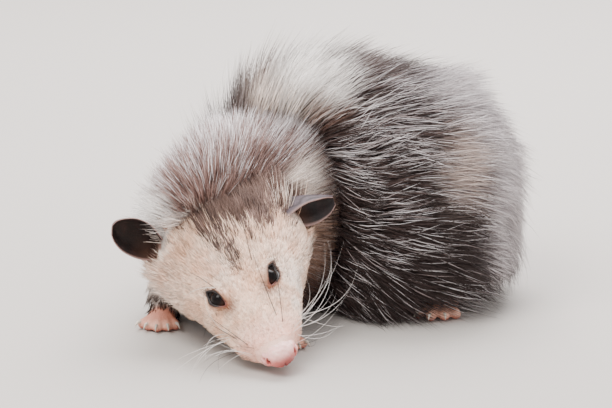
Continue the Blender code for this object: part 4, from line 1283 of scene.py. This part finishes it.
def neckShares(place, points):
    side, back, height = place.T
    line = (-0.072, -0.058, -0.041, -0.023, -0.001, 0.01)
    border = np.interp(side, line, (0.076, 0.0815, 0.087, 0.0835, 0.079, 0.076))
    cream = 1 - ramp(height + 0.0022 * ripple(points, 0.004, 33), border - 0.003, border + 0.004)
    cream = cream * (1 - ramp(back, 0.09, 0.102)) * ramp(height, 0.055, 0.07)
    white = np.clip(mark("whiteEar", place, 2.0) + 0.1 * ripple(points, 0.005, 35), 0, 1)
    white = white * (mark("whiteEar", place) > 0.08)
    cream = np.clip(np.maximum(cream, mark("creamEar", place, 2.4)), 0, 1) * (1 - white)
    dark = mark("neckDark", place, 1.4) * (1 - cream)
    ruff = ramp(-side, 0.05, 0.064) * (1 - ramp(height, 0.055, 0.075))
    cream = np.maximum(cream, ruff * (1 - white))
    # Painted shade under the chin and down the throat: the low neck takes the dark under colour
    low = (1 - ramp(height, 0.05, 0.075)) * (1 - white) * (1 - ruff)
    jowl = mark("jowl", place, 2.2)
    return {"underDark": low, "neckDark": dark, "jowl": jowl, "cream": cream, "white": white}


def neckTones(place, points, draw):
    count = len(place)
    found = neckShares(place, points)
    crest = ramp(place[:, 2], 0.106, 0.12)
    low, high = 0.78 * shades["neckUnder"] + 0 * points, shades["neckUnder"] * 1.15
    under = [mixed(low, high, draw.uniform(0, 1, count) * k) for k in (0.4, 0.8, 1.0)]
    under = [mixed(tone, shades["guardGrey"], 0.35 * crest) for tone in under]
    share = 0.28 + 0.15 * ripple(points, 0.02, 31) + 0.5 * crest + 0.25 * ramp(-place[:, 0], 0.055, 0.075)
    # fewer pale tips in the painted throat shade
    share = share - 0.12 * found["neckDark"] - 0.2 * found["underDark"] + 0.1 * ramp(place[:, 0], 0.0, 0.02)
    isPale = draw.uniform(size=count) < np.clip(share, 0.1, 1)
    tipPale = mixed(shades["guardGrey"] + 0 * points, shades["guardPale"], draw.uniform(0.2, 1.2, count))
    roots = mixed(shades["neckDark"] + 0 * points, shades["neckUnder"], draw.uniform(0, 1, count))
    guard = guardTones(roots, np.where(isPale[:, None], tipPale, roots))
    return marked(under, found, neckWeights[0]), marked(guard, found, neckWeights[1])


def coatSkinTone(points):
    # Skin under the coat, with the coat's own markings, its painted rim light and its painted throat shade
    place = points - fromNose((0, 0, 0))
    tone = shades["underDark"] * 1.5 + 0 * points
    onNeck = 1 - ramp(place[:, 0] + 0.6 * (place[:, 1] - 0.12), -0.002, 0.014)
    onBody = bodyShares(place * np.array([1, 1, 1.12]), points)  # as high as the coat above it
    for found, weight in ((onBody, 1 - onNeck), (neckShares(place, points), onNeck)):
        for name, share in found.items():
            tone = mixed(tone, shades[name] * 0.6, share * weight * 0.8)
    return tone


def scatter(rings, length, angle, count, draw, weight=None):
    # Roots spread evenly over a grid of rings, with the way out, the way along, the length and the
    # angle there
    columns = rings.shape[1]
    after = np.roll(rings, -1, axis=1)
    along = rings[1:] - rings[:-1]
    around = (after - rings)[:-1]
    out = np.cross(along, around)
    area = np.linalg.norm(out, axis=-1)
    if weight is not None:
        area = area * weight[:-1]
    odds = np.cumsum(area.ravel())
    picked = np.searchsorted(odds, draw.uniform(0, odds[-1], count))
    row, column = np.unravel_index(np.clip(picked, 0, area.size - 1), area.shape)
    s, t = draw.uniform(size=(2, count, 1))
    nextColumn = (column + 1) % columns
    low = rings[row, column] * (1 - t) + rings[row, nextColumn] * t
    high = rings[row + 1, column] * (1 - t) + rings[row + 1, nextColumn] * t
    points = low * (1 - s) + high * s
    normal = unit(out)[row, column]
    middle = rings.mean((0, 1))
    if ((points - middle) * normal).sum(-1).mean() < 0:
        normal = -normal
    step = 2 * math.pi / columns
    lengths = length[row, column] + (length[1, 0] - length[0, 0]) * s[:, 0]
    angles = angle[row, column] + step * t[:, 0]
    return points, normal, unit(high - low), lengths, angles


patchSize = 0.003  # of one tuft on the coat's unwrap
hairLimit = 0.01  # how far hair may pass the box of the solids
hairFloor = 0.0006  # how low hair may hang


def insideBox(points):
    # Keeps hair above the floor and near the solids' own box
    low, high = np.array(solidBox[0]) - hairLimit, np.array(solidBox[1]) + hairLimit
    low[2] = hairFloor
    return np.clip(points, low, high)


def gathered(roots, middles, tips, spacing, strength, draw):
    # Pulls tufts together towards the nearest of a few leading tufts, as hair clings in wisps
    count = len(roots)
    leaders = draw.choice(count, max(1, int(count / spacing)), replace=False)
    tree = KDTree(len(leaders))
    for k, index in enumerate(leaders):
        tree.insert(Vector(roots[index]), k)
    tree.balance()
    nearest = np.array([tree.find(Vector(root))[1] for root in roots])
    lead = leaders[nearest]
    pull = (strength * draw.uniform(0.6, 1.2, count))[:, None]
    middles = middles + (middles[lead] - middles) * pull * 0.45
    tips = tips + (tips[lead] - tips) * pull
    return middles, tips


def growTufts(name, tufts, tones, options, seed):
    # Solid tapered tufts with three sides, each bent from its rise off the skin to its fall
    draw = np.random.default_rng(seed)
    roots, normals, ways, length, width = (tufts[k] for k in ("roots", "normals", "ways", "length", "width"))
    rise, fall, swing, patch = (tufts[k] for k in ("rise", "fall", "swing", "patch"))
    rings = options["rings"]
    side = unit(np.cross(ways, normals))
    ways = np.cross(normals, side)
    firstWay = ways * np.cos(rise)[:, None] + normals * np.sin(rise)[:, None]
    lastWay = ways * np.cos(fall)[:, None] + normals * np.sin(fall)[:, None] + side * swing[:, None]
    starts = roots - normals * options["sink"]
    middles = roots + firstWay * length[:, None] * 0.5
    tips = middles + unit(lastWay) * length[:, None] * 0.5
    middles, tips = gathered(roots, middles, tips, *options["gather"], draw)
    middles, tips = insideBox(middles), insideBox(tips)
    share = np.linspace(0, 1, rings + 1)[None, :, None]
    path = starts[:, None] * (1 - share) ** 2 + middles[:, None] * 2 * share * (1 - share)
    path = path + tips[:, None] * share**2
    if "drop" in options:
        keep = ~options["drop"](path)
        path, side, normals, width, patch = (values[keep] for values in (path, side, normals, width, patch))
        tones = [tone[keep] for tone in tones]
    count = len(path)
    profile = np.interp(share[0, :, 0], (0, 0.35, 0.75, 1), (0.7, 1.0, 0.62, 0))[None, :, None]
    away = unit(path[:, 1:2] - path[:, :1])
    flat = unit(side + normals * draw.normal(0, 0.5, count)[:, None])[:, None]
    flat = unit(flat - away * (flat * away).sum(-1, keepdims=True))
    thick = np.cross(flat, away)
    half = (width[:, None, None] / 2) * profile
    corners = np.stack([path - flat * half, path + thick * half * options["thick"], path + flat * half], 2)
    corners = corners[:, :rings].reshape(count, rings * 3, 3)
    points = np.concatenate([corners, path[:, -1:]], 1)
    faces = [(0, 2, 1)]
    for row in range(rings - 1):
        for k in range(3):
            a, b = row * 3 + k, row * 3 + (k + 1) % 3
            faces += [(a, b, b + 3), (a, b + 3, a + 3)]
    last = (rings - 1) * 3
    faces += [(last + k, last + (k + 1) % 3, rings * 3) for k in range(3)]
    each = rings * 3 + 1  # points of one tuft
    index = (np.array(faces)[None] + np.arange(count)[:, None, None] * each).ravel()
    toneShare = np.concatenate([np.repeat(share[0, :rings, 0], 3), [1.0]])
    knots = np.linspace(0, 1, len(tones))
    weights = np.stack([np.interp(toneShare, knots, row) for row in np.eye(len(tones))])
    colours = sum(weight[None, :, None] * tone[:, None, :] for weight, tone in zip(weights, tones))
    corner = np.concatenate([np.tile([0.0, 0.5, 1.0], rings), [0.5]])
    climb = toneShare * 0.8 + np.concatenate([np.tile([0.0, 0.16, 0.0], rings), [0.2]])
    spots = patch[:, None] + patchSize * (np.stack([corner, climb], -1)[None] - 0.5)
    return meshFrom(name, points.reshape(-1, 3), index, colours.reshape(-1, 3), spots.reshape(-1, 2))


def growPieces(prefix, pieces, tufts, tones, options, seed, sway, draw, material, slot):
    # Deals the tufts out at random over pieces of the coat and grows each piece
    order = draw.permutation(len(tufts["roots"]))
    for k, part in enumerate(np.array_split(order, pieces)):
        some = {key: values[part] for key, values in tufts.items()}
        some["swing"] = draw.normal(0, sway, len(part))
        piece = growTufts(f"{prefix}{k + 1}", some, [tone[part] for tone in tones], options, seed + k)
        dress(piece, material, slot)
        print("  ", piece.name, len(piece.data.polygons))


def meshFrom(name, points, index, colours, spots):
    mesh = bpy.data.meshes.new(name)
    mesh.vertices.add(len(points))
    mesh.vertices.foreach_set("co", points.ravel())
    mesh.loops.add(len(index))
    mesh.loops.foreach_set("vertex_index", index.astype(np.int32))
    mesh.polygons.add(len(index) // 3)
    mesh.polygons.foreach_set("loop_start", np.arange(0, len(index), 3, dtype=np.int32))
    mesh.polygons.foreach_set("use_smooth", np.ones(len(index) // 3, bool))
    mesh.update(calc_edges=True)
    spread = mesh.uv_layers.new(name="OFBake")
    spread.data.foreach_set("uv", spots[index].ravel())
    made = linked(name, mesh)
    paint(made, colours)
    return made


def inside(points, tree, clear):
    # Which points lie inside a closed form, or nearer than clear to it
    found = np.zeros(len(points), bool)
    for k, point in enumerate(points):
        place, normal, _, _ = tree.find_nearest(Vector(point))
        found[k] = (Vector(point) - place).dot(normal) < clear
    return found


def treeOf(thing):
    mesh = thing.data
    return BVHTree.FromPolygons([v.co for v in mesh.vertices], [p.vertices for p in mesh.polygons])


print("light and camera")
makeCamera()
makeLight()

print("skin")
for trunk in trunks.values():
    trunk["line"] = trunkLine(trunk)
neckGrid, bodyGrid = trunkRings(trunks["neck"]), trunkRings(trunks["body"])
headSkin, headRings = makeHeadSkin()
toHead = headMatrix()
headRingsPlaced = moved(toHead, headRings)
forms = [loft("neck", neckGrid[0]), loft("body", bodyGrid[0]), *makeLegForms()]
neckTree, bodyTree = treeOf(forms[0]), treeOf(forms[1])
flesh = joined("bodySkin", forms)
skinVoxel = 0.0011
smoothed(flesh, skinVoxel, 5)
fleshPoints = pointsOf(flesh)
fleshPoints[:, 2] = np.maximum(fleshPoints[:, 2], 0.0)
setPoints(flesh, fleshPoints)


def ahead(points, leg):
    # How far points lie towards the toes from the middle of the palm
    heading = math.radians(leg["toesWay"])
    return (points - fromNose(leg["palm"])) @ np.array([math.cos(heading), math.sin(heading), 0.0])


def bareShare(points):
    # Paws ahead of the palm's middle, and soles
    bare, reach = np.zeros(len(points)), np.full(len(points), 1.0)
    for leg in legs.values():
        away = np.linalg.norm((points - fromNose(leg["palm"]))[:, :2], axis=-1)
        near = 1 - ramp(away, leg["toeLength"] * 1.6, leg["toeLength"] * 2.1)
        low = 1 - ramp(points[:, 2], 0.002, 0.0035)
        here = near * np.maximum(ramp(ahead(points, leg), 0.0, 0.006), low)
        bare = np.maximum(bare, here * (1 - ramp(points[:, 2], 0.0105, 0.0135)))
        reach = np.minimum(reach, away)
    return bare, reach


def fleshTone(points):
    # Bare paws, and skin with the coat's markings, painted rim light and painted throat shade under the long
    # coat
    bare, reach = bareShare(points)
    pink = mixed(pawShades["skin"] + 0 * points, pawShades["toeTip"], ramp(reach, 0.014, 0.026))
    pink = mixed(pink, pawShades["sole"], 1 - ramp(points[:, 2], 0.001, 0.004))
    return mixed(coatSkinTone(points), pink, bare), bare


# The head's skin and the flesh become one skin
setPoints(headSkin, moved(toHead, pointsOf(headSkin)))
headTree = treeOf(headSkin)
fleshOutward = normalsOf(flesh)
union = flesh.modifiers.new("union", "BOOLEAN")
union.operation = "UNION"
union.solver = "MANIFOLD"
union.object = headSkin
applyModifiers(flesh)
bpy.data.objects.remove(headSkin, do_unlink=True)
flesh.name = "skin"
skinPoints = pointsOf(flesh)
sameSkin = 0.00003  # how near the head's own skin a point of it still lies
onHead = np.array([headTree.find_nearest(Vector(point), sameSkin)[0] is not None for point in skinPoints])
tones, bare = fleshTone(skinPoints)
tones[onHead] = headSkinTone(moved(toHead.inverted(), skinPoints[onHead]))
paint(flesh, tones)
paint(flesh, bare[:, None] * (~onHead)[:, None] * np.ones(3), "bare")
flesh.data.polygons.foreach_set("use_smooth", [True] * len(flesh.data.polygons))
dress(flesh, skinMaterial(), "coat", "head", "neck", "torso", "rump", *legs)
print("  skin", len(flesh.data.polygons), "faces,", int(onHead.sum()), "points on the head")
print("eyes, nose and ears")
for side in (-1, 1):
    makeEye(side)
    makeLidRim(side)
makeNose()
earLeaves = [makeEar(name, ear) for name, ear in ears.items()]
earTrees = [treeOf(leaf) for leaf in earLeaves]
makeClaws()
makeTail()


def patchAt(across, up):
    # A place on the coat's unwrap, a little in from its edges
    return np.stack([0.02 + 0.96 * across, 0.02 + 0.96 * np.clip(up, 0, 1)], -1)


def headPlace(local):
    # The head's own unwrap, from its length and the angle round it
    shift, centre = headSection(np.clip(local[:, 1], 0.0035, 0.13)).T[:2]
    angle = np.arctan2(local[:, 2] - centre, local[:, 0] - shift)
    return patchAt(angle / (2 * math.pi) + 0.5, local[:, 1] / 0.135)


def trunkPlace(trunk, length, angle):
    return patchAt((angle / (2 * math.pi) + 0.5) % 1, (length + 0.03) / (trunk["line"][-1, 0] + 0.09))


def nearEars(path):
    # Tufts that would cross an ear
    found = np.zeros(len(path), bool)
    for leaf, tree in zip(earLeaves, earTrees):
        points = pointsOf(leaf)
        low, high = points.min(0) - 0.003, points.max(0) + 0.003
        for column in range(1, path.shape[1]):
            close = np.nonzero(((path[:, column] > low) & (path[:, column] < high)).all(-1) & ~found)[0]
            for k in close:
                if tree.find_nearest(Vector(path[k, column]), 0.0014)[0] is not None:
                    found[k] = True
    return found


def inCups(path, clear):
    # Tufts that would stand in the open side of an ear, up to clear above it
    found = np.zeros(len(path), bool)
    points = path[:, 1:].reshape(-1, 3)
    owner = np.repeat(np.arange(len(path)), path.shape[1] - 1)
    for ear in ears.values():
        upper, lower, depth, deep = earStations(ear)
        middle, half = (upper + lower) / 2, (lower - upper) / 2
        close = np.nonzero(np.linalg.norm(points - middle.mean(0), axis=-1) < 0.032)[0]
        if not len(close):
            continue
        here = points[close]
        row = np.linalg.norm(here[:, None] - middle[None], axis=-1).argmin(1)
        offset = here - middle[row]
        across = (offset * half[row]).sum(-1) / (half[row] ** 2).sum(-1)
        rise = -(offset @ deep)
        hit = (np.abs(across) < 1.02) & (rise > -depth[row]) & (rise < clear) & (row > 8)
        found[owner[close[hit]]] = True
    return found


def overEyes(path):
    found = np.zeros(len(path), bool)
    fromHead = toHead.inverted()
    for side in (-1, 1):
        local = moved(eyeMatrix(side).inverted() @ fromHead, path.reshape(-1, 3)).reshape(path.shape)
        hit = (almond(local[..., 0], local[..., 1]) < 0.0007) & (local[..., 2] > 0)
        found |= hit.any(1)
    return found


faceCoat = {
    "tufts": 50000,
    "length": ((0.0, 0.002), (0.02, 0.003), (0.05, 0.0048), (0.08, 0.009), (0.105, 0.015), (0.13, 0.02)),
    "width": 0.00038,
    "widths": ((0.0, 0.75), (0.05, 1.0), (0.13, 1.35)),  # share of it, by the distance back
    "rise": 20.0,
    "fall": 6.0,
    "pieces": 3,
}


def growFace():
    draw = np.random.default_rng(41)
    rows = np.linspace(0, 1, headRingsPlaced.shape[0])[:, None] + 0 * headRingsPlaced[..., 0]
    columns = np.linspace(-math.pi, math.pi, headRingsPlaced.shape[1], endpoint=False)[None] + 0 * rows
    weight = np.interp(headRings[..., 1], (0.006, 0.03, 0.07, 0.13), (1.9, 1.5, 1.0, 0.8))
    count = int(faceCoat["tufts"] * furShare)
    roots, normals, ways, _, _ = scatter(headRingsPlaced, rows, columns, count, draw, weight)
    local = moved(toHead.inverted(), roots)
    side, back, height = local.T
    padMiddle = np.array(nose["shift"]) + np.array(nose["bareMiddle"])
    bareNose = np.linalg.norm((local - padMiddle) / np.array(nose["bareHalf"]), axis=-1) < 1
    onLips = (np.abs(height - tableAt(head["mouthLine"], back)) < 0.0007) & (back < 0.055)
    keep = ~bareNose & (back > 0.006) & ~onLips
    roots, normals, ways, local = (values[keep] for values in (roots, normals, ways, local))
    side, back, height = local.T
    count = len(roots)
    length = tableAt(faceCoat["length"], back) * draw.uniform(0.7, 1.25, count)
    hang = 0.25 * ramp(back, 0.04, 0.1)
    ways = ways + 0.25 * unit(draw.normal(size=ways.shape)) - upward * hang[:, None]
    tone = faceTone(local)
    crown = crownShare(local) * (height > 0.0)
    earRoot = earRootShare(local)
    isDark = draw.uniform(size=count) < np.maximum(np.maximum(stripeShare(local) * 0.75, crown), earRoot)
    stripeTone = mixed(faceShades["stripe"] + 0 * tone, faceShades["dark"], draw.uniform(0, 0.9, count))
    stripeTone = mixed(stripeTone, faceShades["crown"], crown * 0.6)
    strands = ripple(local * np.array([1.0, 0.45, 1.0]), 0.0022, 43)
    stripeTone = stripeTone * (draw.uniform(0.6, 1.5, count) * (1 + 0.3 * strands))[:, None]
    tone = mixed(tone, faceShades["tan"], draw.uniform(-0.3, 0.45, count))
    tone = tone * (1.15 - 0.48 * draw.uniform(size=count) ** 2 + 0.1 * strands)[:, None]
    tone = eyeSurround(local, np.where(isDark[:, None], stripeTone, tone))
    # Painted shade among the hairs: each tuft's root takes its tone with some tan, darkened towards the skin
    shadedRootTone = mixed(tone, faceShades["tan"], 0.3) * 0.68
    behind = ramp(back, 0.06, 0.12)
    cheek = ramp(np.abs(side), 0.03, 0.046) * ramp(back, 0.07, 0.095)
    ruff = ramp(np.abs(side), 0.024, 0.042) * ramp(back, 0.082, 0.108) * ramp(-height, -0.012, 0.008)
    ruff = ruff * np.where(side < 0, 1.0, 0.6)
    length = length * (1 - 0.6 * earRoot) * (1 + 0.4 * crown * (1 - earRoot))
    length = length * (1 + 0.35 * cheek + 1.2 * ruff)
    length = length * (0.35 + 0.65 * ramp(eyeDistance(local), 0.0005, 0.006))
    rise = np.radians(faceCoat["rise"] + 14 * behind + 16 * cheek + 8 * ruff + draw.normal(0, 6, count))
    fall = np.radians(faceCoat["fall"] + 12 * behind + 14 * cheek + draw.normal(0, 6, count))
    ways = ways - upward * (0.5 * ruff)[:, None]
    width = faceCoat["width"] * tableAt(faceCoat["widths"], back) * draw.uniform(0.7, 1.3, count)
    tufts = dict(roots=roots, normals=normals, ways=ways, length=length, width=width, rise=rise, fall=fall)
    tufts["patch"] = headPlace(local)
    options = {
        "rings": 2,
        "sink": 0.0008,
        "gather": (10, 0.5),
        "thick": 0.7,
        "drop": lambda path: nearEars(path) | inCups(path, 0.01) | overEyes(path),
    }
    # from the painted shade at the root to a tip a little lighter, as painted light
    tones = [shadedRootTone, tone, tone * 1.03]
    material = furMaterial("short face fur", 0.6, 0.25)
    growPieces("faceCoat", faceCoat["pieces"], tufts, tones, options, 50, 0.15, draw, material, "face")


longCoat = {
    "neck": {
        "under": 12000,
        "guard": 26000,
        "underLength": 0.024,
        "guardLength": 0.031,
        "underWidth": 0.0007,
        "guardWidth": 0.00034,
        "rise": 40.0,
        "fall": 20.0,
        "stray": 0.03,
        "rings": 2,
    },
    "body": {
        "under": 15500,
        "guard": 31000,
        "underLength": 0.037,
        "guardLength": 0.05,
        "underWidth": 0.0013,
        "guardWidth": 0.00044,
        "rise": 34.0,
        "fall": 9.0,
        "stray": 0.05,
        "rings": 3,
    },
    # share of a tuft's length added, and of its rise taken off, by where it grows
    "lengthBy": {"belly": -0.35, "ending": -0.38, "crest": -0.15, "hem": 0.25},
    "riseBy": {"belly": 0.5, "ending": 0.25, "crest": 0.2},
    "strayRise": 22.0,
    "strayLength": 0.12,
    "trianglesPerPiece": 180000,
    "trianglesPerTuft": 16,  # with three rings
}


def headings(trunk, length):
    return unit(lineAt(trunk, length, 4, 7))


def bodyFlow(points, length, angle):
    # Up over the shoulders, round the far shoulder, along the flanks and down over the rump
    top, low = np.clip(np.sin(angle), 0, 1), np.clip(-np.sin(angle), 0, 1)
    climb = 62 * bell(np.maximum(length, 0), 0.034) * ramp(np.sin(angle), -0.1, 0.7)
    climb += 8 * top - 34 * low - 60 * ramp(length, 0.11, 0.178) - 18 * low * ramp(length, 0.08, 0.14)
    climb = np.radians(climb)[:, None]
    way = headings(trunks["body"], length) * np.cos(climb) + upward * np.sin(climb)
    away = unit(points - lineAt(trunks["body"], length, 1, 4))
    level = np.hypot(away[:, 0], away[:, 1])
    wrap = ramp(away[:, 1] / level, -0.75, -0.35) * ramp(level, 0.25, 0.6) * (1 - ramp(length, 0.02, 0.06))
    return mixed(way, 0.9 * unit(np.cross(away, upward)) + 0.35 * upward, wrap)


def neckFlow(points, length, angle):
    # Fanned back from the crown of the head
    crown = moved(toHead, np.array([head["crown"]]))[0]
    return 0.9 * unit(points - crown) + 0.5 * headings(trunks["neck"], length)


def growTrunk(name, grid, tonesOf, flowOf, blockers):
    settings, trunk = longCoat[name], trunks[name]
    material = furMaterial(name + " coat", 0.5, 0.3)
    for layer, seed in (("under", 60), ("guard", 70)):
        isGuard = layer == "guard"
        draw = np.random.default_rng(seed + len(name))
        roots, normals, ways, length, angle = scatter(*grid, int(settings[layer] * furShare), draw)
        hidden = roots[:, 2] < 0.004
        for tree in blockers:
            hidden |= inside(roots, tree, 0.001)
        kept = (values[~hidden] for values in (roots, normals, ways, length, angle))
        roots, normals, ways, length, angle = kept
        count = len(roots)
        grows = {
            "belly": np.clip(-normals[:, 2], 0, 1),
            "ending": ramp(length / trunk["line"][-1, 0], 0.66, 0.98),
            "crest": ramp(np.sin(angle), 0.7, 1.0),
            "hem": ramp(-np.sin(angle), 0.1, 0.5) * (name == "body"),
        }
        span = settings[layer + "Length"] * draw.uniform(0.75, 1.15, count)
        for where, change in longCoat["lengthBy"].items():
            span = span * (1 + change * grows[where])
        span = span * (1 + 0.1 * ripple(roots, 0.02, seed))
        wander = np.stack([ripple(roots, 0.025, 100 + k) for k in (1, 2, 3)], -1)
        ways = flowOf(roots, length, angle) + wander * 0.16 + draw.normal(0, 0.1, ways.shape)
        upright = 1.0
        for where, change in longCoat["riseBy"].items():
            upright = upright - change * grows[where]
        rise = np.radians(settings["rise"] * upright + draw.normal(0, 7, count))
        fall = np.radians(settings["fall"] + draw.normal(0, 8, count) + (4 if isGuard else 0))
        stray = (draw.uniform(size=count) < settings["stray"]) & isGuard
        rise = rise + stray * math.radians(longCoat["strayRise"])
        span = span * (1 + longCoat["strayLength"] * stray)
        first = unit(ways - normals * (ways * normals).sum(-1, keepdims=True))
        first = first * np.cos(rise)[:, None] + normals * np.sin(rise)[:, None]
        place = roots + first * (span * 0.6)[:, None] - fromNose((0, 0, 0))  # where a tuft is seen
        under, guard = tonesOf(place, roots, draw)
        shade = draw.uniform(0.8, 1.15, count)[:, None]
        tones = [tone * shade for tone in (guard if isGuard else under)]
        width = settings[layer + "Width"] * draw.uniform(0.7, 1.35, count)
        tufts = dict(roots=roots, normals=normals, ways=ways, length=span, width=width, rise=rise, fall=fall)
        tufts["patch"] = trunkPlace(trunk, length, angle)
        options = {
            "rings": settings["rings"] if isGuard else 2,
            "sink": 0.002,
            "gather": (12, 0.3) if isGuard else (9, 0.5),
            "thick": 0.6,
            "drop": lambda path: nearEars(path) | inCups(path, 0.016),
        }
        pieces = math.ceil(count * longCoat["trianglesPerTuft"] / longCoat["trianglesPerPiece"])
        prefix = name + layer.capitalize()
        growPieces(prefix, pieces, tufts, tones, options, seed, 0.2, draw, material, "coat")


legFur = {
    "each": 2600,
    "lengths": ((0.0, 0.015), (0.55, 0.01), (0.85, 0.0055), (1.0, 0.003)),
    "width": 0.0006,
    "rise": 24.0,
    "fall": 8.0,
    "around": 0.055,  # how far from a leg's middle its skin is looked for
    "gap": 0.004,  # how far off the bones' surface fur still belongs to the leg
    "toesFrom": 0.004,  # bare ahead of here from the palm's middle, below toesHeight
    "toesHeight": 0.013,
    "lowest": 0.0025,
}
legShades = shadesOf(dark=(30, 23, 22), brown=(88, 66, 56))


def growLegs():
    # Short dark fur down the legs to the roots of the toes, from the skin itself
    draw = np.random.default_rng(90)
    parts = []
    for which, leg in enumerate(legs.values()):
        bones = fromNose([bone[:3] for bone in leg["bones"]] + [leg["palm"]])
        radii = [bone[3] for bone in leg["bones"]]
        near = np.nonzero(np.linalg.norm(fleshPoints - bones.mean(0), axis=-1) < legFur["around"])[0]
        points = fleshPoints[near]
        gap, share, way = np.full(len(points), 9.0), np.zeros(len(points)), np.zeros_like(points)
        for k, radius in enumerate(radii):
            step = bones[k + 1] - bones[k]
            along = np.clip((points - bones[k]) @ step / step.dot(step), 0, 1)
            off = np.linalg.norm(points - bones[k] - along[:, None] * step, axis=-1) - radius
            better = off < gap
            gap[better], share[better] = off[better], (k + along[better]) / len(radii)
            way[better] = step / np.linalg.norm(step)
        bare = (ahead(points, leg) > legFur["toesFrom"]) & (points[:, 2] < legFur["toesHeight"])
        good = np.nonzero((gap < legFur["gap"]) & ~bare & (points[:, 2] > legFur["lowest"]))[0]
        good = draw.choice(good, min(len(good), int(legFur["each"] * furShare)), replace=False)
        toes = math.radians(leg["toesWay"])
        forward = np.array([math.cos(toes), math.sin(toes), -0.25])
        flow = way[good] + forward * ramp(share[good], 0.6, 0.95)[:, None]
        whose = np.full(len(good), float(which))
        parts.append((points[good], fleshOutward[near][good], flow, share[good], whose))
    roots, normals, ways, share, whose = (np.concatenate(values) for values in zip(*parts))
    keep = ~inside(roots, headTree, 0.0005)
    roots, normals, ways, share, whose = (values[keep] for values in (roots, normals, ways, share, whose))
    count = len(roots)
    length = tableAt(legFur["lengths"], share) * draw.uniform(0.7, 1.2, count)
    tone = mixed(legShades["dark"] + 0 * roots, legShades["brown"], draw.uniform(0, 1, count))
    ruff = (whose == list(legs).index("foreleg_right")) * ramp(roots[:, 2], 0.014, 0.026)
    tone = mixed(tone, shades["cream"], 0.9 * ruff)
    tufts = dict(roots=roots, normals=normals, ways=ways, length=length)
    tufts["patch"] = np.stack([0.05 + 0.9 * draw.uniform(size=count), 0.02 + 0.24 * (share + whose)], -1)
    tufts["width"] = legFur["width"] * draw.uniform(0.7, 1.3, count)
    tufts["rise"] = np.radians(draw.normal(legFur["rise"], 7, count))
    tufts["fall"] = np.radians(draw.normal(legFur["fall"], 7, count))
    tufts["swing"] = draw.normal(0, 0.2, count)
    options = {"rings": 2, "sink": 0.001, "gather": (6, 0.4), "thick": 0.7}
    # Painted shade and light: darker towards the roots (x 0.7), lighter at the tips (x 1.1)
    piece = growTufts("legFur", tufts, [tone * 0.7, tone, tone * 1.1], options, 91)
    dress(piece, furMaterial("leg fur", 0.6, 0.25), "coat")
    print("  ", piece.name, len(piece.data.polygons))


whiskers = {
    "each": 17,  # on either side of the snout
    "backs": (0.01, 0.038),
    "heights": (-0.0065, 0.0045),
    "lengths": (0.034, 0.076),
    "width": 0.00024,
    # hairs over the face: root, tip, and how far the middle stands off to the side and up
    "lying": (
        ((-0.0176, 0.049, 0.025), (-0.029, 0.0735, 0.027), (-0.001, 0.0046)),
        ((0.0096, 0.0596, 0.0272), (0.0168, 0.094, 0.04), (0.0, 0.0026)),
        ((0.01, 0.016, 0.0108), (0.027, 0.075, 0.032), (0.002, 0.0046)),
        ((0.0085, 0.022, 0.012), (0.0125, 0.07, 0.0325), (-0.001, 0.0036)),
        ((-0.0142, 0.014, 0.0056), (-0.031, 0.056, 0.011), (-0.002, 0.0046)),
        ((-0.0158, 0.019, 0.004), (-0.031, 0.05, 0.0055), (-0.002, 0.0046)),
        ((-0.0225, 0.044, 0.012), (-0.0215, 0.04, 0.0075), (-0.001, 0.0026)),
    ),
    "lyingWidth": 1.9,  # of a whisker's
    "brow": (((-0.0178, 0.05, 0.0255), (-0.042, 0.056, 0.013), (-0.006, 0.014)),),
}
whiskerShades = shadesOf(pale=(244, 240, 236), dark=(36, 27, 25))


def headSideAt(back, height):
    shift, centre, halfWidth, above, below = headSection(np.atleast_1d(back))[0]
    reach = above if height > centre else below
    share = min(0.98, abs(height - centre) / reach)
    return halfWidth * (1 - share ** head["squareness"]) ** (1 / head["squareness"]), shift


def hairTube(start, middle, end, width):
    # One long hair as a tapered tube
    t = np.linspace(0, 1, 14)[:, None]
    path = np.array(start) * (1 - t) ** 2 + np.array(middle) * 2 * t * (1 - t) + np.array(end) * t**2
    nodes = np.concatenate([path, width / 2 * np.maximum(1 - t**1.5, 0.12)], 1)
    return tubeRings(nodes, 22, 5, roundEnds=False)


def makeWhiskers():
    draw = np.random.default_rng(79)
    strands = []
    for side in (-1, 1):
        for k in range(whiskers["each"]):
            at = draw.uniform(*whiskers["backs"])
            high = draw.uniform(*whiskers["heights"])
            reach, shift = headSideAt(at, high)
            length = draw.uniform(*whiskers["lengths"]) * (0.75 if k % 3 == 0 else 1.0)
            root = moved(toHead, np.array([[shift + side * (reach - 0.001), at, high]]))[0]
            curl = draw.uniform(0.1, 1.0) if side > 0 else draw.uniform(-1.0, 0.1)
            aside = side * draw.uniform(0.5, 1.0)
            way = unit(np.array([aside, draw.uniform(-0.7, 0.4), draw.uniform(-0.3, 0.65)]))
            middle = root + way * length * 0.5
            bend = np.array([-side * draw.uniform(-0.2, 0.9), draw.uniform(-0.3, 0.6), 1.3 * curl])
            end = middle + unit(0.7 * way + bend) * length * 0.5
            width = whiskers["width"] * draw.uniform(0.8, 1.15)
            strands.append((root, middle, end, width, draw.uniform() < 0.1))
    for rows, wider, isDark in (("lying", whiskers["lyingWidth"], True), ("brow", 1.0, False)):
        for root, tip, (aside, lift) in whiskers[rows]:
            middle = np.mean([root, tip], axis=0) + np.array([aside, 0, lift])
            path = moved(toHead, np.array([root, middle, tip]))
            strands.append((*path, whiskers["width"] * wider, isDark))
    tubes, tones = [], []
    for start, middle, end, width, isDark in strands:
        rings = insideBox(hairTube(start, middle, end, width))
        tubes.append(loft("whisker", rings))
        shade = whiskerShades["dark" if isDark else "pale"]
        tones.append(np.broadcast_to(shade, (len(tubes[-1].data.vertices), 3)))
    made = joined("whiskers", tubes)
    paint(made, np.concatenate(tones))
    dress(made, furMaterial("whisker", 0.35, 0.5), "face")


print("coat")
growFace()
growTrunk("neck", neckGrid, neckTones, neckFlow, [headTree, bodyTree])
growTrunk("body", bodyGrid, bodyTones, bodyFlow, [neckTree, headTree])
growLegs()
makeWhiskers()
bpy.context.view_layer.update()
